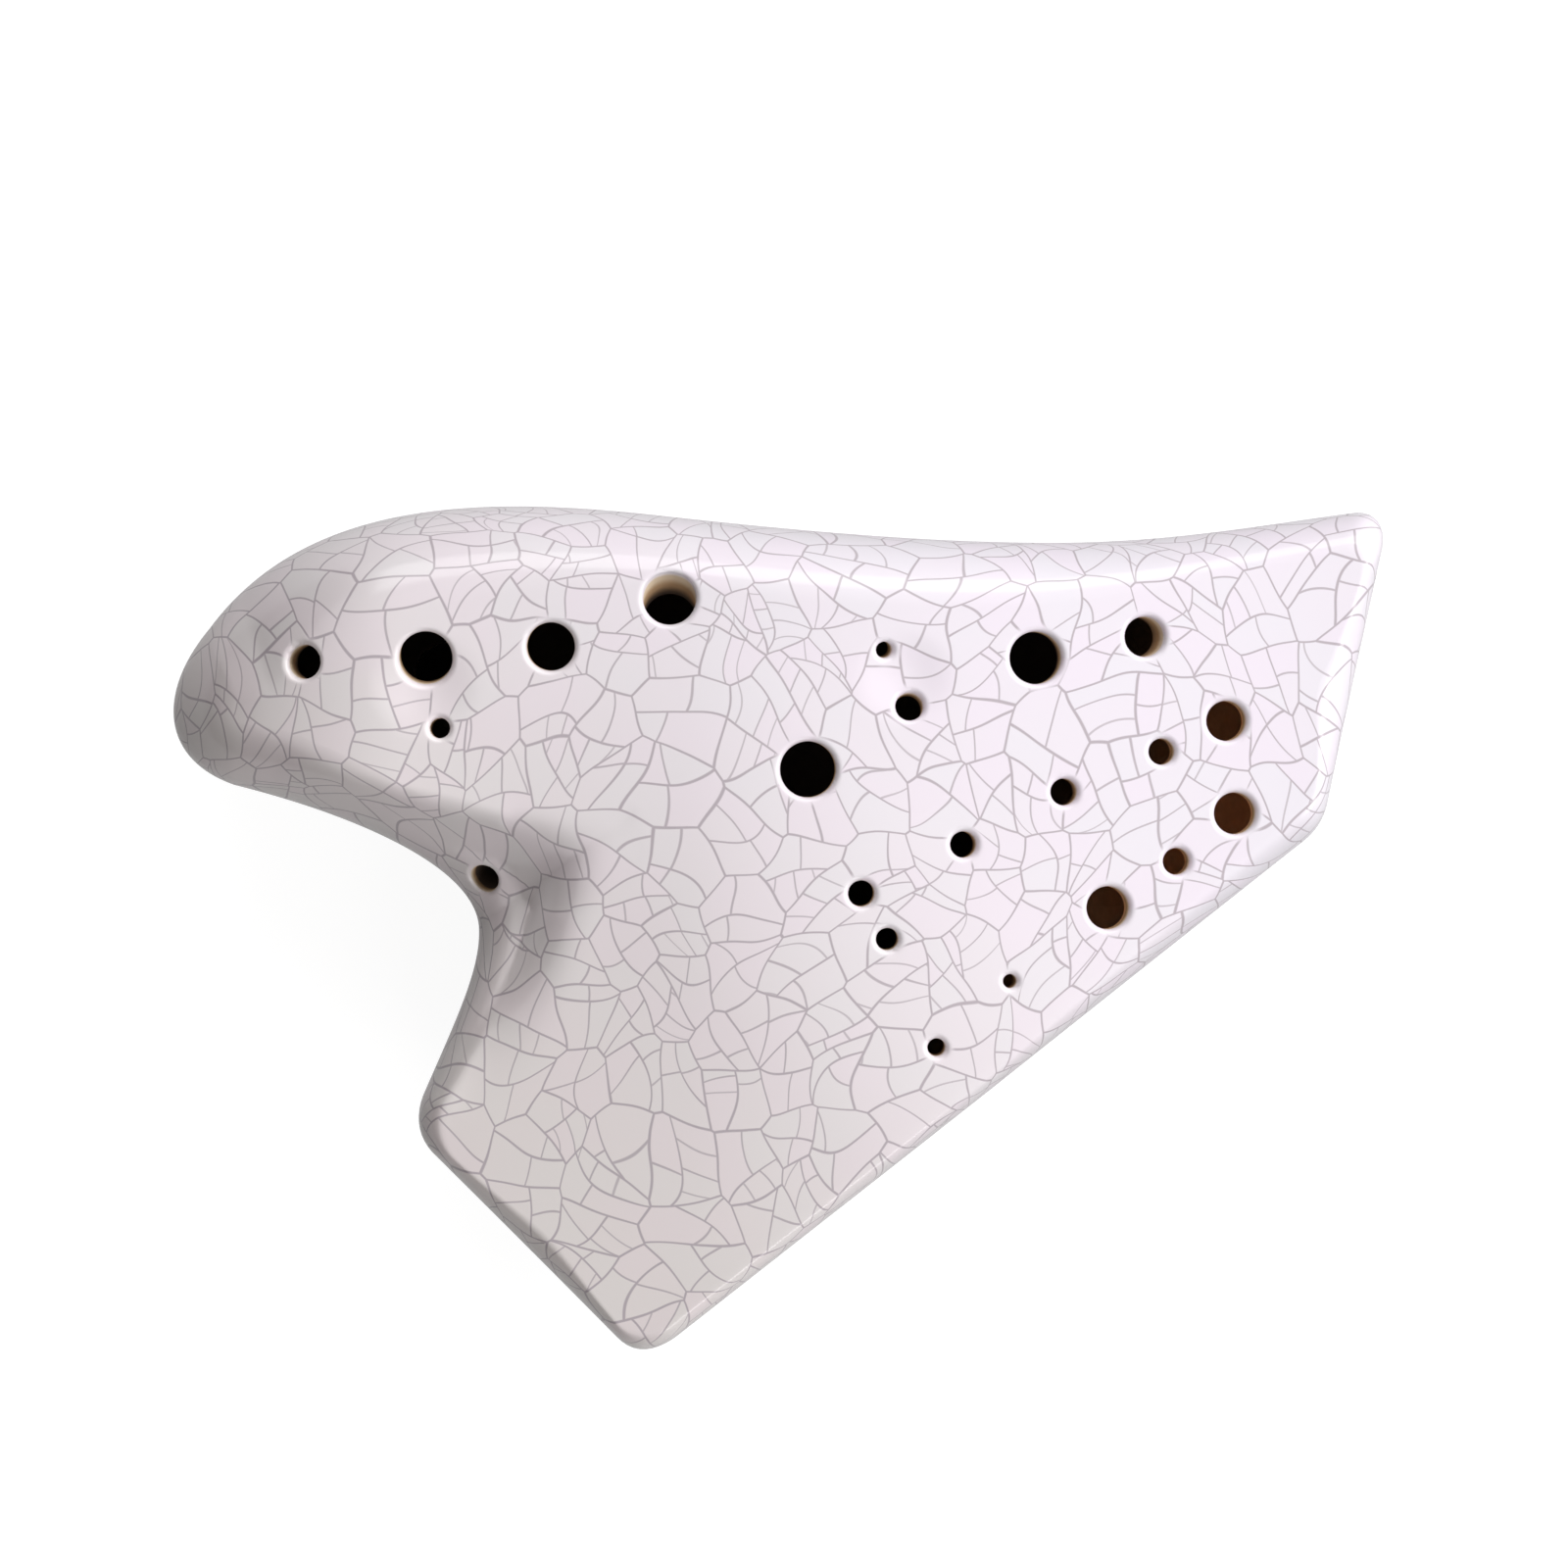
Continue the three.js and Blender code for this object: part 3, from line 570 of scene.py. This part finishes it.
def windway_cutters(voice):
    along = voice["share"] * mouth_half
    slope = (BACK["full"] - BACK["mouth"]) / BACK["mouth_run"]
    roof = SEAM - BACK["mouth"] + WALL + WINDWAY_OVER_WALL
    start, end = -PAST, WINDWAY_LENGTH + WINDOW_LENGTH / 2
    window_end = WINDWAY_LENGTH + WINDOW_LENGTH
    ramp_end = window_end + RAMP_LENGTH
    inner = back_outer(window_end, along) + WALL
    top = back_outer(WINDWAY_LENGTH, along) + WALL + PAST
    windway = [((x, roof - slope * x - WINDWAY_HEIGHT), (x, roof - slope * x)) for x in (start, end)]
    window = [((x, -PAST), (x, top)) for x in (WINDWAY_LENGTH, window_end)]
    ramp_start = window_end - RAMP_OVERLAP
    ramp = [((ramp_start, -PAST), (ramp_start, inner - LABIUM_EDGE)),
            ((ramp_end, -PAST), (ramp_end, back_outer(ramp_end, along)))]
    return [section_cutter(corners, voice) for corners in (windway, window, ramp)]


def cut(shell, cutters):
    for cutter in cutters:
        select_only(shell)
        modifier = shell.modifiers.new("cut", "BOOLEAN")
        modifier.operation = "DIFFERENCE"
        modifier.solver = "EXACT"
        modifier.object = cutter
        bpy.ops.object.modifier_apply(modifier="cut")
        bpy.data.objects.remove(cutter)


def joined(cutters):
    deselect()
    for cutter in cutters:
        cutter.select_set(True)
    bpy.context.view_layer.objects.active = cutters[0]
    bpy.ops.object.join()
    return cutters[0]


# Rounds the rims over, and notes how deep in the clay and how far from a rim each point lies
def finish_rims(shell, tree, bores):
    mesh = shell.data
    skin_depth = []
    rim_gap = []
    for v in mesh.vertices:
        depth = tree.find_nearest(v.co)[3]
        shade_sooner = 1
        gap = FAR_FROM_RIM * MM
        for b in bores:
            up, out = bore_reach(b, v.co)
            if abs(up) < b["depth"] and out > -LIP * MM:
                gap = min(gap, max(out, 0))
                if out < LIP * MM / 2:
                    shade_sooner = b["shade_sooner"]
            if depth < ON_SKIN * MM and abs(up) < WALL * MM and out < LIP * MM:
                q = min(max(out / (LIP * MM), 0), 1)
                v.co -= b["axis"] * (1 - math.sqrt(1 - (1 - q) ** 2)) * LIP * MM
                depth = tree.find_nearest(v.co)[3]
        # In a shaded bore the depth is stretched, so that the clay's painted shade starts nearer its rim
        skin_depth.append(depth * shade_sooner / MM)
        rim_gap.append(gap / MM)
    mesh.attributes.new("skin_depth", "FLOAT", "POINT").data.foreach_set("value", skin_depth)
    mesh.attributes.new("rim_gap", "FLOAT", "POINT").data.foreach_set("value", rim_gap)


# Gives a cut shell the maps of the whole one, which the finer faces round its holes had bent
def take_maps(shell, whole):
    select_only(shell)
    modifier = shell.modifiers.new("maps", "DATA_TRANSFER")
    modifier.object = whole
    modifier.use_loop_data = True
    modifier.data_types_loops = {"UV"}
    modifier.loop_mapping = "POLYINTERP_NEAREST"
    bpy.ops.object.modifier_apply(modifier="maps")
    bpy.data.meshes.remove(whole.data)


def finished_shell(name, form, holes, more_cutters):
    shell = make_shell(name, form)
    if form["side"] > 0:
        soften_crease_end(shell)
    tree = skin_tree(shell)
    bores = [*drilled_holes(tree, form, holes), strap_bore(tree, form)]
    select_only(shell)
    bpy.ops.object.duplicate()
    whole = bpy.context.object
    refine_round(shell, bores)
    cut(shell, [joined([cylinder_cutter(b) for b in bores]), *more_cutters])
    take_maps(shell, whole)
    finish_rims(shell, tree, bores)
    select_only(shell)
    bpy.ops.object.shade_smooth_by_angle(angle=SMOOTH_ANGLE)
    return shell


front = finished_shell("glazed_front", FRONT, FRONT_HOLES, [])
back = finished_shell("glazed_back", BACK, BACK_HOLES,
                      [cutter for voice in VOICES for cutter in windway_cutters(voice)])


# Materials
def new_material(name):
    material = bpy.data.materials.new(name)
    material.use_nodes = True
    tree = material.node_tree
    return material, tree, tree.nodes["Principled BSDF"]


# Gives a socket its value, or links it where the value is another node's
def connect(tree, value, socket):
    if isinstance(value, bpy.types.NodeSocket):
        tree.links.new(value, socket)
    else:
        socket.default_value = value


def node(tree, kind, inputs=None, **settings):
    made = tree.nodes.new("ShaderNode" + kind)
    for key, value in settings.items():
        setattr(made, key, value)
    for key, value in (inputs or {}).items():
        connect(tree, value, made.inputs[key])
    return made


def maths(tree, operation, *values):
    made = node(tree, "Math", dict(enumerate(values)), operation=operation)
    return made.outputs[0]


def vector_maths(tree, operation, *values, scale=None):
    made = node(tree, "VectorMath", dict(enumerate(values)), operation=operation)
    if scale is not None:
        made.inputs["Scale"].default_value = scale
    return made.outputs["Value" if operation in ("LENGTH", "DISTANCE", "DOT_PRODUCT") else "Vector"]


def smooth_step(tree, value, low, high, start=0.0, end=1.0):
    made = node(tree, "MapRange", {"Value": value, "From Min": low, "From Max": high,
                                   "To Min": start, "To Max": end}, interpolation_type="SMOOTHSTEP")
    return made.outputs["Result"]


def mixed(tree, factor, a, b):
    made = node(tree, "Mix", data_type="RGBA")
    for socket, value in ((made.inputs[0], factor), (made.inputs[6], a), (made.inputs[7], b)):
        connect(tree, value, socket)
    return made.outputs[2]


# Crackle, in millimetres: the oldest cells' size and how uneven they are, how far slow and
# quick bends move the cracks, how much those inside a cell lean and bow, the share of quarters
# that are cut once more, each age's width and strength, and how far those inside a cell lie off
# its middle
OLD_CELL = 9.8
CELL_RANDOM = 0.85
CRACK_BENDS = [(40, 15), (11, 4.2)]
CRACK_LEAN = 0.4
CRACK_BOW = 1.2
THIRD_SHARE = 0.25
CRACK_WIDTHS = (0.34, 0.33, 0.3, 0.28)
CRACK_STRENGTHS = (0.95, 0.95, 0.88, 0.75)
CRACK_OFFS = (0.2, 0.3, 0.1)
THIRD_OUT = 0.36
LINE_SHARES = (0.25, 0.75)
CELL_SEED = 83
SIDE_SEED = 31.7

# The crack along the seam: how far it lies from it and wanders, its line, where it breaks off, how
# much nearer the back's lies, and how far off the back's crackle is taken past it, in metres
EDGE_CRACK_AT = 1.7
EDGE_CRACK_WANDER = 1.6
EDGE_CRACK_LINE = (0.1, 0.3, 0.8, 0)
EDGE_CRACK_BREAKS = (0.42, 0.5)
BACK_EDGE_NEARER = 1.2
BACK_CRACKLE_SHIFT = 0.4


def new_group(name, takes, gives):
    group = bpy.data.node_groups.new(name, "ShaderNodeTree")
    for way, sockets in (("INPUT", takes), ("OUTPUT", gives)):
        for socket, kind in sockets.items():
            group.interface.new_socket(socket, in_out=way, socket_type="NodeSocket" + kind)
    taken = group.nodes.new("NodeGroupInput").outputs
    return group, taken, group.nodes.new("NodeGroupOutput").inputs


# A colour of noise as a direction, with its middle at nought
def centred(group, colour):
    return vector_maths(group, "SUBTRACT", colour, (0.5, 0.5, 0.5))


# One crack across a cell: it lies over At, runs along Beside, and leans and bows by its seed
def cell_crack():
    group, start, end = new_group(
        "cell crack",
        dict(At="Float", Beside="Float", Off="Float", Seed="Vector"),
        dict(Gap="Float", Seed="Vector", From="Float"))
    draw = node(group, "TexWhiteNoise", {"Vector": start["Seed"]}, noise_dimensions="3D").outputs["Color"]
    off, lean, bow = node(group, "SeparateXYZ", {0: centred(group, draw)}).outputs
    course = maths(group, "MULTIPLY", off, start["Off"])
    lean = maths(group, "MULTIPLY", lean, CRACK_LEAN)
    course = maths(group, "MULTIPLY_ADD", lean, start["Beside"], course)
    arch = maths(group, "MULTIPLY", start["Beside"], start["Beside"])
    course = maths(group, "MULTIPLY_ADD", maths(group, "MULTIPLY", bow, CRACK_BOW), arch, course)
    away = maths(group, "SUBTRACT", start["At"], course)
    side = maths(group, "GREATER_THAN", away, 0)
    group.links.new(away, end["From"])
    group.links.new(maths(group, "ABSOLUTE", away), end["Gap"])
    turned = node(group, "CombineXYZ", {0: maths(group, "MULTIPLY", side, SIDE_SEED)}).outputs[0]
    seed = vector_maths(group, "MULTIPLY_ADD", draw, (CELL_SEED, CELL_SEED, CELL_SEED), turned)
    group.links.new(seed, end["Seed"])
    return group


# The crackle: bent cells of the oldest cracks, each cut in two, in four, and some once more
def crackle():
    group, start, end = new_group("crackle", dict(Plan="Vector"), dict(Crack="Float", Cell="Vector"))
    plan = vector_maths(group, "SCALE", start["Plan"], scale=1 / MM)
    for size, reach in CRACK_BENDS:
        noise = node(group, "TexNoise", {"Vector": plan, "Scale": 1 / size, "Detail": 0}).outputs["Color"]
        drift = vector_maths(group, "SCALE", centred(group, noise), scale=reach)
        plan = vector_maths(group, "ADD", plan, drift)
    cells = vector_maths(group, "SCALE", plan, scale=1 / OLD_CELL)
    edge = node(group, "TexVoronoi", {"Vector": cells, "Scale": 1, "Randomness": CELL_RANDOM},
                voronoi_dimensions="2D", feature="DISTANCE_TO_EDGE").outputs["Distance"]
    cell = node(group, "TexVoronoi", {"Vector": cells, "Scale": 1, "Randomness": CELL_RANDOM},
                voronoi_dimensions="2D").outputs
    seed = vector_maths(group, "SCALE", cell["Color"], scale=CELL_SEED)
    middle = vector_maths(group, "SUBTRACT", cells, cell["Position"])
    angle = node(group, "SeparateXYZ", {0: seed}).outputs[0]
    local = node(group, "VectorRotate", {"Vector": middle, "Angle": angle}, rotation_type="Z_AXIS")
    along, across, _ = node(group, "SeparateXYZ", {0: local.outputs[0]}).outputs
    one_crack = cell_crack()

    def next_crack(age, at, beside, seed):
        sockets = {"At": at, "Beside": beside, "Off": CRACK_OFFS[age - 1], "Seed": seed}
        return node(group, "Group", sockets, node_tree=one_crack).outputs

    first = next_crack(1, across, along, seed)
    second = next_crack(2, along, first["From"], first["Seed"])
    outward = maths(group, "SUBTRACT", maths(group, "ABSOLUTE", second["From"]), THIRD_OUT)
    third = next_crack(3, outward, first["From"], second["Seed"])
    crack = crack_line(group, edge, 0)
    crack = maths(group, "MAXIMUM", crack, crack_line(group, first["Gap"], 1))
    crack = maths(group, "MAXIMUM", crack, crack_line(group, second["Gap"], 2))
    chance = node(group, "SeparateXYZ", {0: second["Seed"]}).outputs[1]
    cut_again = maths(group, "LESS_THAN", chance, CELL_SEED * THIRD_SHARE)
    third_line = maths(group, "MULTIPLY", cut_again, crack_line(group, third["Gap"], 3))
    crack = maths(group, "MAXIMUM", crack, third_line)
    group.links.new(crack, end["Crack"])
    group.links.new(second["Seed"], end["Cell"])
    return group


# A crack's mask from the distance to its middle in old cells' widths, by its age
def crack_line(group, gap, age):
    width = CRACK_WIDTHS[age] / OLD_CELL
    inner, outer = LINE_SHARES
    return smooth_step(group, gap, width * inner, width * outer, CRACK_STRENGTHS[age], 0)


GLAZE = (0.80, 0.74, 0.775, 1)
GLAZE_PINK = (0.81, 0.735, 0.785, 1)
GLAZE_GREY = (0.79, 0.745, 0.775, 1)
# Painted light colour: the glaze's tint on its shaded south-west side and on its lit north-east side, and
# how wide the change between them is
SHADE_SIDE_TINT = (1, 1, 0.95, 1)
LIT_SIDE_TINT = (0.99, 1, 1.045, 1)
WARMTH_RUN = 0.1
PINK_UNDER = (0.36, 0.48)
GREY_OVER = (0.5, 0.68)
CRACK = (0.45, 0.395, 0.435, 1)
CREAM = (0.62, 0.50, 0.36, 1)
TAN = (0.38, 0.24, 0.13, 1)
# Inside clay colours that stand in for light: pale as painted light, near black as painted shade
LIGHT_PAINTED_CLAY = (1, 0.62, 0.36, 1)
SHADE_PAINTED_CLAY = (0.040, 0.024, 0.015, 1)


# Where the glaze is thin over the clay, at a hole's rim and down its wall, from how deep the clay takes its
# painted shade and light, where its gloss goes, and how far from a rim the cracks fade in, in millimetres
CLAY_SHOWS = [(0.9, 1.6, CREAM), (1.7, 3.2, TAN)]
CLAY_FROM = 3.2
CLAY_FULL = 4.8
GLOSS_GOES = (0.8, 1.6, 0.16, 0.8)
CRACKS_FADE_IN = (0.5, 1.8)


def glaze_material():
    material, tree, shader = new_material("crackle glaze")
    plan = node(tree, "UVMap", uv_map="glaze_plan").outputs[0]
    from_seam = node(tree, "UVMap", uv_map="from_seam").outputs[0]
    from_seam, on_back, _ = node(tree, "SeparateXYZ", {0: from_seam}).outputs
    from_seam = maths(tree, "MULTIPLY", from_seam, 1 / MM)
    depth = node(tree, "Attribute", attribute_name="skin_depth").outputs["Fac"]
    gap = node(tree, "Attribute", attribute_name="rim_gap").outputs["Fac"]
    place_on = node(tree, "TexCoord").outputs["Object"]
    wander = node(tree, "TexNoise", {"Vector": place_on, "Scale": 60, "Detail": 0}).outputs["Color"]
    wander, broken, _ = node(tree, "SeparateXYZ", {0: wander}).outputs
    wander = maths(tree, "SUBTRACT", wander, 0.5)
    edge_at = maths(tree, "MULTIPLY_ADD", wander, EDGE_CRACK_WANDER, EDGE_CRACK_AT)
    edge_at = maths(tree, "MULTIPLY_ADD", on_back, -BACK_EDGE_NEARER, edge_at)
    past_edge = maths(tree, "SUBTRACT", from_seam, edge_at)
    edge_crack = smooth_step(tree, maths(tree, "ABSOLUTE", past_edge), *EDGE_CRACK_LINE)
    whole = maths(tree, "MAXIMUM", smooth_step(tree, broken, *EDGE_CRACK_BREAKS), on_back)
    edge_crack = maths(tree, "MULTIPLY", edge_crack, whole)
    # Past its edge crack the back takes its crackle from elsewhere, so that the sides don't mirror
    elsewhere = maths(tree, "MULTIPLY", on_back, maths(tree, "GREATER_THAN", past_edge, 0))
    shift = vector_maths(tree, "SCALE", node(tree, "CombineXYZ", {0: elsewhere, 1: elsewhere}).outputs[0],
                         scale=BACK_CRACKLE_SHIFT)
    made = node(tree, "Group", {"Plan": vector_maths(tree, "ADD", plan, shift)}, node_tree=crackle())
    crack = maths(tree, "MAXIMUM", made.outputs["Crack"], edge_crack)
    crack = maths(tree, "MULTIPLY", crack, smooth_step(tree, gap, *CRACKS_FADE_IN))
    drift = node(tree, "TexNoise", {"Vector": place_on, "Scale": 38, "Detail": 2}).outputs["Fac"]
    tint = node(tree, "TexWhiteNoise", {"Vector": made.outputs["Cell"]}, noise_dimensions="3D")
    tint = maths(tree, "MULTIPLY_ADD", tint.outputs["Value"], 0.5, maths(tree, "MULTIPLY", drift, 0.5))
    glaze = mixed(tree, smooth_step(tree, tint, *PINK_UNDER), GLAZE_PINK, GLAZE)
    glaze = mixed(tree, smooth_step(tree, tint, *GREY_OVER), glaze, GLAZE_GREY)
    # Painted light colour: the glaze is tinted warmer to the shaded south-west and cooler to the lit
    # north-east
    northeast = vector_maths(tree, "DOT_PRODUCT", place_on, (1, 1, 0))
    painted_light_tint = mixed(tree, smooth_step(tree, northeast, -WARMTH_RUN, WARMTH_RUN), SHADE_SIDE_TINT, LIT_SIDE_TINT)
    glaze = vector_maths(tree, "MULTIPLY", glaze, painted_light_tint)
    colour = mixed(tree, crack, glaze, CRACK)
    # Down a hole's wall the clay shows cream, then tan, and deeper it takes the inner clay's painted shade
    # and light
    for low, high, clay in (*CLAY_SHOWS, (CLAY_FROM, CLAY_FULL, inner_clay_shade_and_light(tree, place_on))):
        colour = mixed(tree, smooth_step(tree, depth, low, high), colour, clay)
    tree.links.new(colour, shader.inputs["Base Color"])
    tree.links.new(smooth_step(tree, depth, *GLOSS_GOES), shader.inputs["Roughness"])
    bump = node(tree, "Bump", {"Height": crack, "Strength": 0.12, "Distance": 0.0001}, invert=True)
    tree.links.new(bump.outputs[0], shader.inputs["Normal"])
    return material


# The clay inside is painted near black in the large chamber, as shade, and painted paler towards the blunt
# end's lower corner, as light
PALER_WAY = (1, -0.5, 0)
PALER_FROM = 0.03
PALER_TO = 0.057


def inner_clay_shade_and_light(tree, place_on):
    along = vector_maths(tree, "DOT_PRODUCT", place_on, PALER_WAY)
    return mixed(tree, smooth_step(tree, along, PALER_FROM, PALER_TO), SHADE_PAINTED_CLAY, LIGHT_PAINTED_CLAY)


def clay_material():
    material, tree, shader = new_material("bare clay")
    place_on = node(tree, "TexCoord").outputs["Object"]
    grain = node(tree, "TexNoise", {"Vector": place_on, "Scale": 900, "Detail": 3}).outputs["Fac"]
    # The walls and blocks inside take the same painted shade and light as the clay inside the shells
    tree.links.new(inner_clay_shade_and_light(tree, place_on), shader.inputs["Base Color"])
    shader.inputs["Roughness"].default_value = 0.85
    bump = node(tree, "Bump", {"Height": grain, "Strength": 0.4, "Distance": 0.0002})
    tree.links.new(bump.outputs[0], shader.inputs["Normal"])
    return material


glaze = glaze_material()
bare_clay = clay_material()
for shell, cad_node in ((front, "front_shell"), (back, "back_shell")):
    shell.data.materials.clear()
    shell.data.materials.append(glaze)
    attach(shell, "root")
    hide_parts(cad_node)
for name, cad_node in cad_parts.items():
    if name not in ("front_shell", "back_shell"):
        cad_node.data.materials.clear()
        cad_node.data.materials.append(bare_clay)


def grey(value):
    return value, value, value, 1


# Floor, white where it is seen, with the object's shadow, and a painted shadow under the lobe, dark and
# without glow, where the left thumb hole would show it
def floor_material():
    material, tree, shader = new_material("floor")
    place_on = node(tree, "TexCoord").outputs["Object"]
    away = vector_maths(tree, "SUBTRACT", place_on, tuple(UNDER_LOBE))
    away = vector_maths(tree, "LENGTH", vector_maths(tree, "MULTIPLY", away, UNDER_LOBE_FORM))
    outside_painted_shadow = smooth_step(tree, away, UNDER_LOBE_FADES, UNDER_LOBE_REACH)
    tree.links.new(mixed(tree, outside_painted_shadow, FLOOR_PAINTED_SHADOW, FLOOR_GREY), shader.inputs["Base Color"])
    shader.inputs["Roughness"].default_value = 1
    shader.inputs["Specular IOR Level"].default_value = 0
    shader.inputs["Emission Strength"].default_value = 1
    # Under the lobe the floor's glow is cut too, as part of its painted shadow
    seen = maths(tree, "MULTIPLY", seen_directly(tree, FLOOR_IN_GLOSS), outside_painted_shadow)
    seen = maths(tree, "MULTIPLY", seen, FLOOR_GLOW)
    tree.links.new(mixed(tree, seen, grey(0), grey(1)), shader.inputs["Emission Color"])
    return material


# How much of the background a ray shows: all to the camera, and a share to those that gloss sends
def seen_directly(tree, in_gloss):
    path = node(tree, "LightPath").outputs
    gloss = maths(tree, "MULTIPLY", path["Is Glossy Ray"], in_gloss)
    seen = maths(tree, "MAXIMUM", path["Is Camera Ray"], gloss)
    return maths(tree, "MAXIMUM", seen, path["Is Transmission Ray"])


FLOOR_GREY = grey(0.22)
FLOOR_PAINTED_SHADOW = grey(0.03)
FLOOR_IN_GLOSS = 0.4
FLOOR_GLOW = 0.92
# The floor's painted shadow: where it lies under the lobe, its shape, and where it fades in and ends
UNDER_LOBE = Vector((*place((0.222, 0.800)), 0)) * MM
UNDER_LOBE_FORM = (1, 2.4, 1)
UNDER_LOBE_FADES = 0.024
UNDER_LOBE_REACH = 0.04
FLOOR_SIZE = 6
deselect()
bpy.ops.mesh.primitive_plane_add(size=FLOOR_SIZE)
floor = bpy.context.object
floor.name = "floor"
floor.data.materials.append(floor_material())


# Lamps: name, compass bearing, height angle, size in metres and radiance
LAMP_DISTANCE = 1.1
LAMPS = [
    ("top window", 3, 34, (1.2, 0.6), 2.6),
    ("corner window", 50, 31, (0.6, 0.5), 5.6),
    ("right window", 95, 26, (0.9, 0.5), 4.7),
    ("low window", 160, 34, (0.5, 0.4), 4.4),
]


# A lamp that faces the object
def softbox(name, bearing, height, size, radiance):
    data = bpy.data.lights.new(name, "AREA")
    data.shape = "RECTANGLE"
    data.size, data.size_y = size
    data.energy = radiance * math.pi * size[0] * size[1]
    lamp = bpy.data.objects.new(name, data)
    bpy.context.collection.objects.link(lamp)
    a, e = math.radians(bearing), math.radians(height)
    away = Vector((math.sin(a) * math.cos(e), math.cos(a) * math.cos(e), math.sin(e)))
    lamp.location = away * LAMP_DISTANCE
    lamp.rotation_euler = away.to_track_quat("Z", "Y").to_euler()
    lamp.visible_camera = False


for lamp in LAMPS:
    softbox(*lamp)

# A black flag that keeps the room's light off the lobe's side, in metres
FLAG_AT = (-0.32, 0.03, 0.14)
FLAG_TURN = 75
FLAG_SIZE = (0.28, 0.8, 1)
FLAG_BLACK = grey(0.01)
bpy.ops.mesh.primitive_plane_add(size=1, location=FLAG_AT, rotation=(0, math.radians(FLAG_TURN), 0))
flag = bpy.context.object
flag.name = "flag"
flag.scale = FLAG_SIZE
flag.visible_camera = False
flag_material, _, flag_shader = new_material("flag")
flag_shader.inputs["Base Color"].default_value = FLAG_BLACK
flag_shader.inputs["Specular IOR Level"].default_value = 0
flag.data.materials.append(flag_material)

# The room's light, a little warm, and white where the camera sees it
ROOM = 0.28
ROOM_TINT = (1, 0.96, 0.92)
world = bpy.data.worlds.new("room")
bpy.context.scene.world = world
world.use_nodes = True
tree = world.node_tree
room_light = (*(ROOM * tint for tint in ROOM_TINT), 1)
room_colour = mixed(tree, seen_directly(tree, 1), room_light, grey(1))
tree.links.new(room_colour, tree.nodes["Background"].inputs["Color"])

bpy.context.scene.view_settings.view_transform = "Standard"
